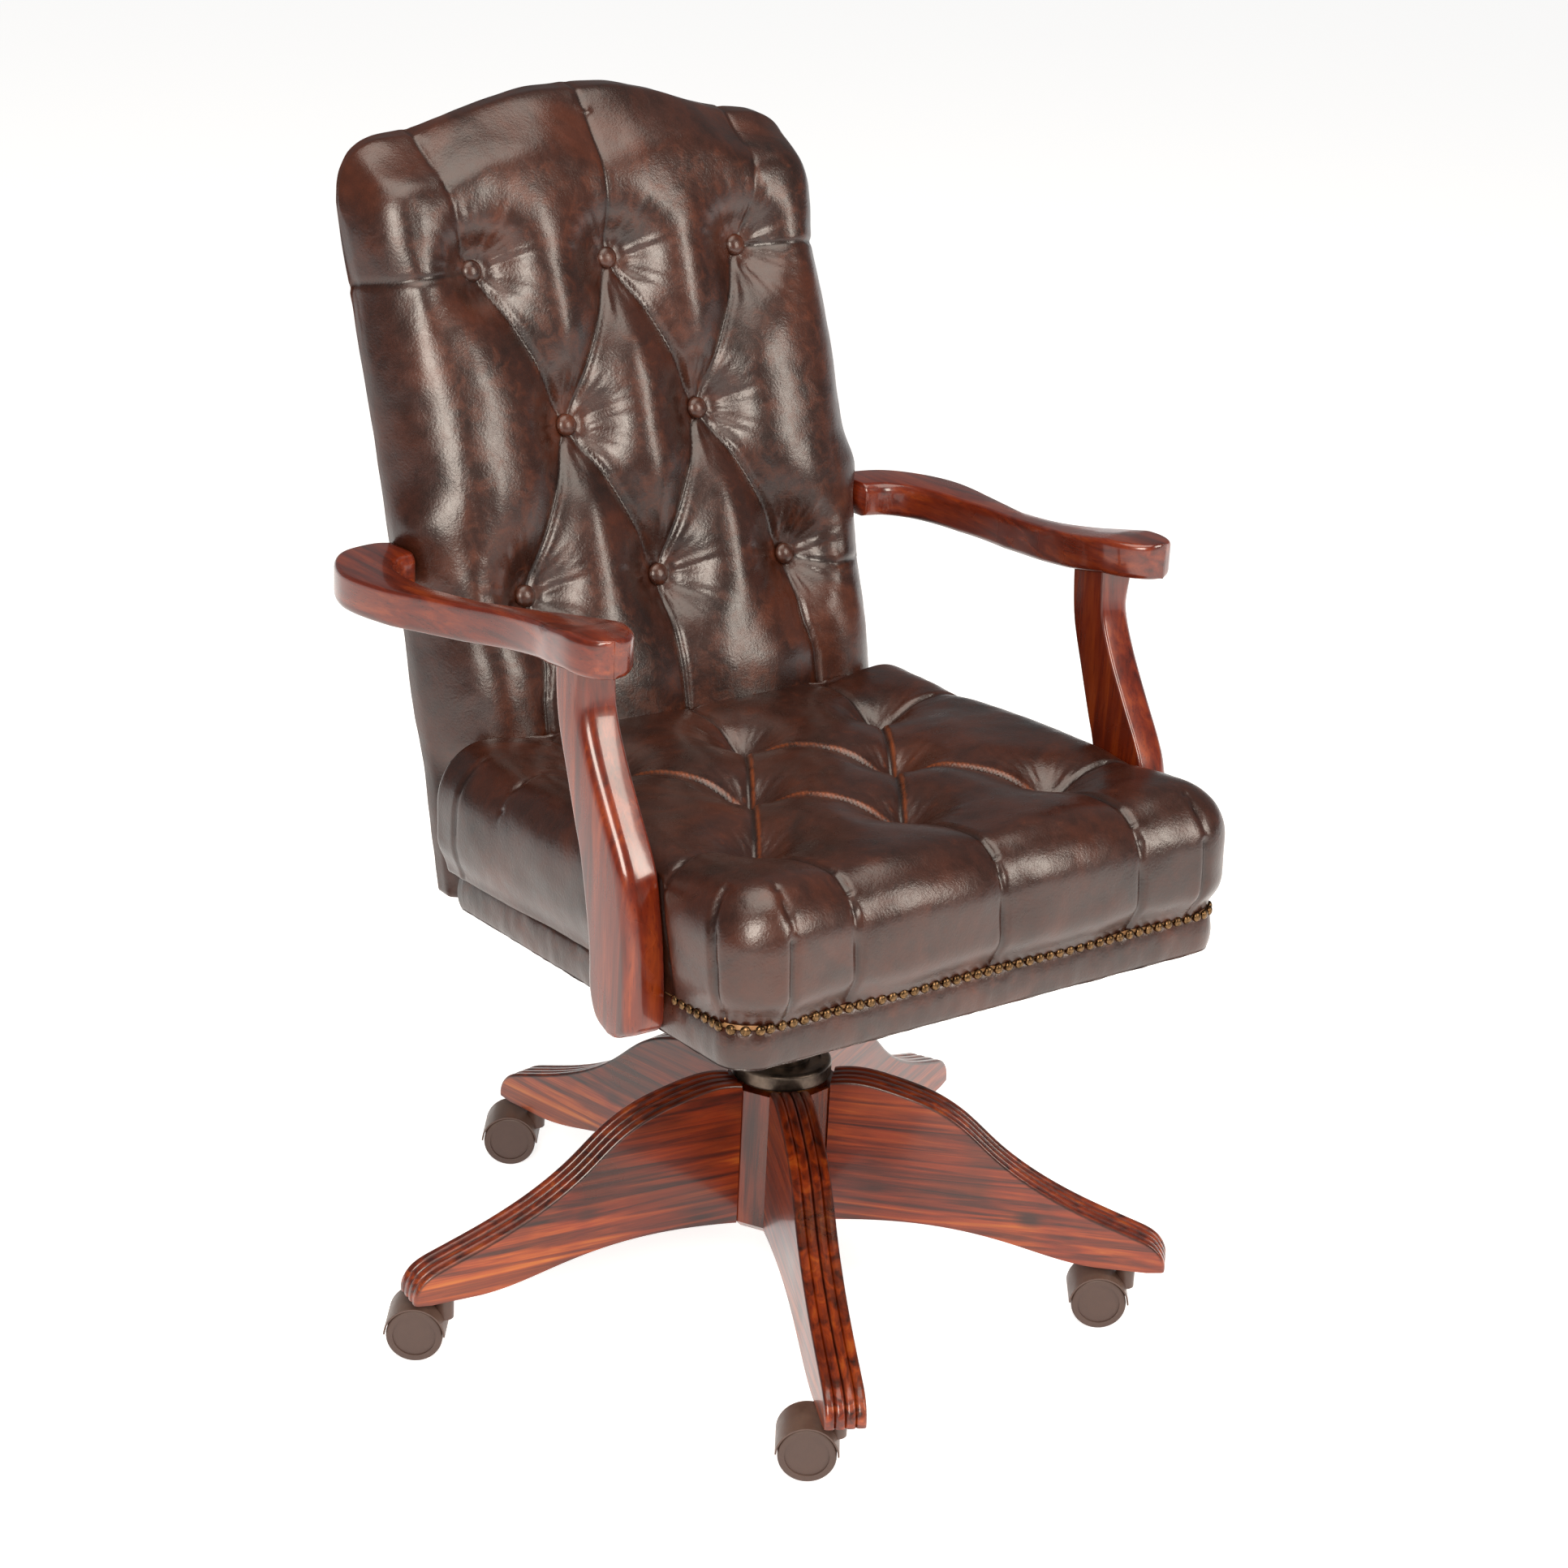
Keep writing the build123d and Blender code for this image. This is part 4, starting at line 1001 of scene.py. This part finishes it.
def to_side(tie, x, z):
    """The seam from an outer top button round the side to the rear."""
    half = 246.0
    return [tie, *on_back((0.5 * (tie[0] + x), 0.5 * (tie[2] + z) + 2)),
            *on_back((x * 0.93, z + 2)), np.array((math.copysign(half, x), 356, z - 4)),
            np.array((math.copysign(half, x), 363, z - 10))]


back_pleats = []
for a, b in ((top_mid, mid_left), (top_mid, mid_right), (top_left, mid_left),
             (top_right, mid_right), (mid_left, low_left), (mid_left, low_mid),
             (mid_right, low_mid), (mid_right, low_right)):
    back_pleats.append((between(a, b), (34, 34), 22))
for tie, x in ((top_left, -168), (top_mid, 0), (top_right, 168)):
    back_pleats.append((over_top(tie, x), (34, 1), 8))
for tie, x in ((low_left, -150), (low_mid, 0), (low_right, 150)):
    back_pleats.append((on_back((tie[0], tie[2]), (tie[0], 575), (x, 545), (x, 508), (x, 470)),
                        (34, 14), 16))
for side, tie in ((-1, top_left), (1, top_right)):
    back_pleats.append((to_side(tie, side * 246, 892), (32, 2), 6))
for side, tie in ((-1, low_left), (1, low_right)):
    back_pleats.append((on_back((tie[0], tie[2]), (side * 190, 618), (side * 226, 612)),
                        (30, 2), 5))
back_ties = list(zip(over, button_deep))
points, facing = read_mm(back_cushion)
keep_rest(back_cushion, points, facing)
depth = pulled_in(points, facing, back_ties, back_pleats, 40, 31)
# the webbing and head rail stop the cover: the depth levels off just ahead of them
stop_z = (364, 454, 540, 622, 758, 895, 985, 1050)
stop_y = (176, 190, 204, 230, 279, 328, 362, 376)
below_top = np.interp(np.abs(points[:, 0]), top_x, top_z) - points[:, 2]
room = np.interp(points[:, 2], stop_z, stop_y) - 7.5 - points[:, 1]
room = np.maximum(room, 4.5) / np.maximum(-facing[:, 1], 0.3)
room += 60 * (1 - smooth(below_top, 4, 26)) + 60 * smooth(np.abs(points[:, 0]), 200, 225)
depth = (np.maximum(depth, 0.1) ** -6.0 + room ** -6.0) ** (-1 / 6)
in_front = np.where(corners[:, 1] >= deep, 0.0, 1.0)
write_mm(back_cushion, points - facing * (depth * in_front)[:, None])

tied = (corners[:, 1] >= deep - 1) | (corners[:, 2] < 8)
tied |= pulled_in(points, facing, back_ties, back_pleats, 12, 5) > 6
settle(back_cushion, tied, swell_cap, fill_pressure)
subdivided(back_cushion)
points, facing = read_mm(back_cushion)
rest, rest_facing = take_rest(back_cushion)
back_creases = [(path, 2.2 if ends[1] < 5 else 3.8, 3.0, 0.25) for path, ends, _ in back_pleats]
points, fold, rub = creased(points, facing, rest, rest_facing, back_ties, back_creases, 0.71)
# beside the arms the cover bulges out over their ends
bulge = np.exp(-((rest[:, 2] - 694) / 24) ** 2 - ((rest[:, 1] - 252) / 26) ** 2)
points[:, 0] += np.sign(rest[:, 0]) * 10.0 * bulge * (np.abs(rest[:, 0]) > 200)
# the webbing carries the cover at its deepest
webbing = np.interp(points[:, 2], stop_z, stop_y) - 1.2
over_web = (facing[:, 1] < -0.1) & (np.abs(points[:, 0]) < 214) & (points[:, 2] > 470) \
    & (points[:, 2] < np.interp(np.abs(points[:, 0]), top_x, top_z) - 20)
points[:, 1] = np.where(over_web, np.minimum(points[:, 1], webbing), points[:, 1])
write_mm(back_cushion, points)
outer = smooth(-facing[:, 1], 0.3, 0.95)
mark(back_cushion, fold=fold, rub=np.maximum(0.8 * rub, 0.38 * outer))
back_cushion.data.materials.append(hide("rubbed antique leather, back", 0.6))
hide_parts("back_cushion")
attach(back_cushion, "seat")

buttons = domes_on("leather_buttons", button_spots + 5.0 * button_out,
                   [button_out] * len(button_spots), 10.2, 5.2, 14,
                   hide("rubbed antique leather, buttons", 0.4))
mark(buttons, fold=np.zeros(len(buttons.data.vertices)),
     rub=np.full(len(buttons.data.vertices), 0.45))
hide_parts("back_buttons")
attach(buttons, "seat")

# ---- Outside back: a flat hide panel blind-tacked behind, with a welt at its edge ----
# The panel lies against the frame and is edged by a thin leather welt over cord.


def panel_edge(inset, steps):
    """The outside back's edge from foot to foot, inset from the outline."""
    side = [(np.interp(z, (480, 673, 900), (240, 245, 246)) - inset, z)
            for z in np.linspace(back_foot + 2, 940, steps)]
    shoulder = [(x - inset, z - inset) for x, z in zip(top_x[::-1][:-1], top_z[::-1][:-1])]
    half = np.array([p for p in side + shoulder if p[1] < 2000] + [(0.0, 1045.0 - inset)])
    left = half[:-1][::-1] * (-1, 1)
    return np.concatenate([half, left])


def rear_at(z):
    return np.interp(z, rear_z, rear_y)


edge = panel_edge(9.0, 60)
columns = 40
panel_rows = len(edge) // 2 + 1
panel_points, panel_quads = [], []
for layer, push in ((0, 1.4), (1, -2.0)):
    for r in range(panel_rows):
        x_edge, z = edge[r]
        for c in range(columns + 1):
            share = 2 * c / columns - 1
            sag = 1.6 * noise.noise(Vector((share * 1.6, z / 180, 4.4)))
            panel_points.append((share * max(x_edge, 0.5), rear_at(z) + push
                                 + (sag + 1.2 * (1 - share ** 2)) * (1 - layer), z))
layer_size = panel_rows * (columns + 1)
for r in range(panel_rows - 1):
    for c in range(columns):
        a = r * (columns + 1) + c
        q = (a, a + columns + 1, a + columns + 2, a + 1)
        panel_quads += [q, tuple(layer_size + n for n in q[::-1])]
rim = [r * (columns + 1) for r in range(panel_rows)]
rim += [(panel_rows - 1) * (columns + 1) + c for c in range(1, columns + 1)]
rim += [r * (columns + 1) + columns for r in range(panel_rows - 2, -1, -1)]
rim += [c for c in range(columns - 1, 0, -1)]
for a, b in zip(rim, rim[1:] + rim[:1]):
    panel_quads.append((a, b, layer_size + b, layer_size + a))
outside_back = mesh_piece("outside_back_leather", panel_points, panel_quads)
facing_out(outside_back)
mark(outside_back, fold=np.zeros(len(panel_points)), rub=np.full(len(panel_points), 0.25))
panel_hide = hide("rubbed antique leather, outside back", 0.4)
outside_back.data.materials.append(panel_hide)


def tube(name, centres, radius, sides=10):
    """A closed round tube along points."""
    centres = np.asarray(centres, float)
    ring_points, tube_quads = [], []
    for k, centre in enumerate(centres):
        ahead = centres[min(k + 1, len(centres) - 1)] - centres[max(k - 1, 0)]
        ahead /= np.linalg.norm(ahead)
        first = np.cross(ahead, (0, 1, 0.2))
        first /= np.linalg.norm(first)
        second = np.cross(ahead, first)
        for turn in np.linspace(0, 2 * math.pi, sides, endpoint=False):
            ring_points.append(centre + radius * (math.cos(turn) * first
                                                  + math.sin(turn) * second))
    for k in range(len(centres) - 1):
        for s in range(sides):
            a, b = k * sides + s, k * sides + (s + 1) % sides
            tube_quads.append((a, b, b + sides, a + sides))
    tube_quads.append(list(range(sides))[::-1])
    tube_quads.append([(len(centres) - 1) * sides + s for s in range(sides)])
    return mesh_piece(name, ring_points, tube_quads)


welt_edge = panel_edge(6.5, 60)
welt = tube("back_welt", [(x, rear_at(z) + 1.0, z) for x, z in welt_edge], 2.6)
facing_out(welt)
mark(welt, fold=np.zeros(len(welt.data.vertices)), rub=np.full(len(welt.data.vertices), 0.6))
welt.data.materials.append(panel_hide)
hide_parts("back_cover")
for piece in (outside_back, welt):
    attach(piece, "seat")

# ---- Tilt spring: a closed coil of oiled spring steel between screw cup and plate ----
# It stands on the tension screw's cup and is pressed flat as the seat tilts back.
spring_low, spring_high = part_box("tilt_spring")
wire_radius, spring_turns, spring_steps = 1.7, 5, 150
coil_middle = [500 * (a + b) for a, b in zip(spring_low, spring_high)]
coil_radius = 500 * (spring_high[0] - spring_low[0]) - wire_radius
climb = np.linspace(0, 1, spring_steps)
rise_low = 1000 * spring_low[2] + wire_radius + 0.2
rise_high = 1000 * spring_high[2] - wire_radius - 0.2
spring_line = np.stack([
    coil_middle[0] + coil_radius * np.cos(2 * math.pi * spring_turns * climb),
    coil_middle[1] + coil_radius * np.sin(2 * math.pi * spring_turns * climb),
    rise_low + (rise_high - rise_low) * climb], 1)
spring = tube("tilt_coil", spring_line, wire_radius, 8)
facing_out(spring)
spring.data.materials.append(oiled_steel)
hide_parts("tilt_spring")
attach(spring, "swivel_head")
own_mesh(spring)

# ---- Arms: bandsawn and spindle-moulded mahogany on shaped posts ----
# Each arm is one board, curved in plan and dropped at the rear, its inner top edge
# rounded off more behind the post. The posts are well rounded outside. Both have a high
# gloss red-brown lacquer, dark in the pores, with painted shade on the arms' undersides
# and sides and on the posts' inner faces.


def lacquered_mahogany(name, grain_turn):
    """Glossy stained mahogany; reads the mesh's edge attribute as painted shade."""
    made, tree, output = new_material(name)
    place = add(tree, "ShaderNodeTexCoord").outputs["Object"]
    edge = add(tree, "ShaderNodeAttribute", attribute_name="edge").outputs["Fac"]
    scale = (75.0, 7.0, 95.0) if grain_turn == "arm" else (75.0, 85.0, 6.0)
    stretch = add(tree, "ShaderNodeMapping", {"Vector": place, "Scale": scale})
    grain = add(tree, "ShaderNodeTexNoise", {
        "Vector": stretch.outputs[0], "Scale": 1.0, "Detail": 5.0, "Roughness": 0.6,
        "Distortion": 0.5})
    pore_scale = tuple(s * 9 for s in scale)
    pore_map = add(tree, "ShaderNodeMapping", {"Vector": place, "Scale": pore_scale})
    pore = add(tree, "ShaderNodeTexNoise", {
        "Vector": pore_map.outputs[0], "Scale": 1.0, "Detail": 2.0})
    cloud = add(tree, "ShaderNodeTexNoise", {"Vector": place, "Scale": 9.0, "Detail": 3.0})
    wood = add(tree, "ShaderNodeValToRGB", {"Fac": grain.outputs[0]}, stops=[
        (0.32, "#3e1004"), (0.50, "#6c2208"), (0.70, "#923c10")])
    fine = add(tree, "ShaderNodeMapRange", {
        "Value": pore.outputs[0], "From Min": 0.58, "From Max": 0.70, "To Max": 0.55})
    pored = add(tree, "ShaderNodeMix", {0: fine.outputs[0], 6: wood.outputs[0],
                                        7: colour("#3a0f08")}, data_type="RGBA")
    shaded = add(tree, "ShaderNodeMapRange", {
        "Value": cloud.outputs[0], "From Min": 0.35, "From Max": 0.68,
        "To Min": 0.35, "To Max": 0.0})
    deep = add(tree, "ShaderNodeMix", {0: shaded.outputs[0], 6: pored.outputs[2],
                                       7: colour("#4a130b")}, data_type="RGBA")
    # painted shade: undersides, sides and the posts' inner faces are darkened
    painted_edge_shade = add(tree, "ShaderNodeMapRange", {
        "Value": edge, "From Min": 0.2, "From Max": 1.0, "To Max": 0.65})
    toned = add(tree, "ShaderNodeMix", {0: painted_edge_shade.outputs[0], 6: deep.outputs[2],
                                        7: colour("#2a0b06")}, data_type="RGBA")
    bump = add(tree, "ShaderNodeBump", {"Height": pore.outputs[0], "Strength": 0.06,
                                        "Distance": 0.0004})
    rough = add(tree, "ShaderNodeMapRange", {
        "Value": cloud.outputs[0], "From Min": 0.3, "From Max": 0.7,
        "To Min": 0.20, "To Max": 0.34})
    shader = add(tree, "ShaderNodeBsdfPrincipled", {
        "Base Color": toned.outputs[2], "Roughness": rough.outputs[0],
        "Normal": bump.outputs[0], "IOR": 1.5, "Coat Weight": 0.5, "Coat Roughness": 0.08})
    tree.links.new(shader.outputs[0], output.inputs[0])
    return made


def curve_through(points, count):
    """Evenly spaced places on a smooth curve through points."""
    points = np.asarray(points, float)
    padded = np.vstack([2 * points[0] - points[1], points, 2 * points[-1] - points[-2]])
    fine = []
    for k in range(1, len(padded) - 2):
        p0, p1, p2, p3 = padded[k - 1:k + 3]
        for t in np.linspace(0, 1, 24, endpoint=False):
            fine.append(0.5 * (2 * p1 + (p2 - p0) * t + (2 * p0 - 5 * p1 + 4 * p2 - p3) * t ** 2
                               + (3 * p1 - p0 - 3 * p2 + p3) * t ** 3))
    fine.append(points[-1])
    fine = np.array(fine)
    run = np.concatenate([[0], np.cumsum(np.linalg.norm(np.diff(fine, axis=0), axis=1))])
    even = np.linspace(0, run[-1], count)
    return np.stack([np.interp(even, run, fine[:, c]) for c in range(points.shape[1])], 1)


def ringed(name, rings):
    """A closed skin over equal-sized rings of points."""
    count = len(rings[0])
    skin = []
    for k in range(len(rings) - 1):
        for s in range(count):
            a, b = k * count + s, k * count + (s + 1) % count
            skin.append((a, b, b + count, a + count))
    skin.append(list(range(count))[::-1])
    skin.append([(len(rings) - 1) * count + s for s in range(count)])
    piece = mesh_piece(name, np.concatenate(rings), skin)
    facing_out(piece)
    return piece


def rounded_ring(low, high, floor_z, top_z, radii, arc=7):
    """A rectangle's outline with its own radius at each corner, as (across, height)."""
    places = []
    corners = ((low, floor_z, 180), (high, floor_z, 270), (high, top_z, 0), (low, top_z, 90))
    for (x, z, start), radius in zip(corners, radii):
        centre = (x + radius * (1 if x == low else -1), z + radius * (1 if z == floor_z else -1))
        for turn in np.radians(np.linspace(start, start + 90, arc)):
            places.append((centre[0] + radius * math.cos(turn),
                           centre[1] + radius * math.sin(turn)))
    return np.array(places)


arm_thick, arm_ease, arm_scoop, arm_steps = 32.0, 5.5, 9.5, 130
arm_outer = [(246.5, 287), (262, 292), (292, 285), (312, 266), (327, 235), (331, 204), (325, 160),
             (312, 112), (301, 70), (292, 18), (293, -28), (302, -68), (308, -106), (301, -130),
             (287, -139)]
arm_inner = [(246.5, 240), (268, 231), (283, 205), (288, 160), (285, 110), (275, 55), (262, 0),
             (252, -50), (249, -88), (254, -116), (269, -135), (286, -138.9)]
arm_top_y = (-160, -97, -50, 0, 70, 150, 220, 310)
arm_top_z = (713, 711, 702, 694, 684, 677, 674, 672)
outer_line = curve_through(arm_outer, arm_steps)
inner_line = curve_through(arm_inner, arm_steps)
arm_wood = lacquered_mahogany("lacquered mahogany, arm", "arm")
post_wood = lacquered_mahogany("lacquered mahogany, post", "post")
post_front_line = curve_through([
    (-96, 690), (-97, 660), (-101, 635), (-115, 604), (-137, 567), (-157, 535), (-167, 512),
    (-177, 465), (-182, 408), (-178, 390), (-164, 382)], 90)
post_rear_line = curve_through([
    (-55, 690), (-56, 660), (-61, 625), (-75, 584), (-89, 545), (-99, 518), (-112, 463),
    (-116, 435), (-118, 410), (-127, 390), (-144, 382)], 90)
post_inner_x, post_outer_x = 255.5, 290.0
for side, label in ((-1, "left"), (1, "right")):
    rings, edge_shades = [], []
    for k in range(arm_steps):
        a, b = inner_line[k], outer_line[k]
        span = b - a
        wide_here = np.linalg.norm(span)
        across_here = span / max(wide_here, 1e-6)
        y_here = 0.5 * (a[1] + b[1])
        ease = min(arm_ease, 0.42 * wide_here)
        scoop = arm_scoop * smooth(y_here, -35, 20)
        scoop = float(min(max(scoop, ease), 0.42 * wide_here))
        ring = rounded_ring(0, wide_here, -arm_thick, 0, (ease, ease, ease, scoop))
        spots = []
        for across_at, height in ring:
            x, y = a + across_here * across_at
            spots.append((side * x, y, np.interp(y, arm_top_y, arm_top_z) + height))
        rings.append(np.array(spots))
        rim = np.minimum.reduce([ring[:, 0], wide_here - ring[:, 0]])
        # painted shade on the arm's underside and sides
        underside_shade = np.clip(1 - (ring[:, 1] + arm_thick) / 5, 0, 1)
        edge_shades.append(0.55 * underside_shade + 0.25 * np.clip(1 - rim / 3, 0, 1))
    arm = ringed(f"arm_rest_{label}", rings)
    mark(arm, edge=np.concatenate(edge_shades))
    arm.data.materials.append(arm_wood)
    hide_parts(f"arm_{label}")
    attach(arm, "seat")

    rings, edge_shades = [], []
    for front, rear in zip(post_front_line, post_rear_line):
        span = rear - front
        wide_here = np.linalg.norm(span)
        across_here = span / wide_here
        top_fade = 1 - smooth(front[1], 640, 678)
        big = min(4 + 9 * top_fade, 0.35 * wide_here)
        ring = rounded_ring(post_inner_x, post_outer_x, 0, wide_here, (3.0, big, 7.0, 3.0))
        spots = []
        for x, along_here in ring:
            y, z = front + across_here * along_here
            z = min(z, np.interp(y, arm_top_y, arm_top_z) - arm_thick + 4)
            spots.append((side * x, y, z))
        rings.append(np.array(spots))
        # painted shade on the post's inner face
        edge_shades.append(0.35 * np.clip(1 - (ring[:, 0] - post_inner_x) / 8, 0, 1))
    post = ringed(f"arm_support_{label}", rings)
    mark(post, edge=np.concatenate(edge_shades))
    post.data.materials.append(post_wood)
    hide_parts(f"arm_post_{label}")
    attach(post, "seat")

paint_nodes(bright_steel, "arm_screws")

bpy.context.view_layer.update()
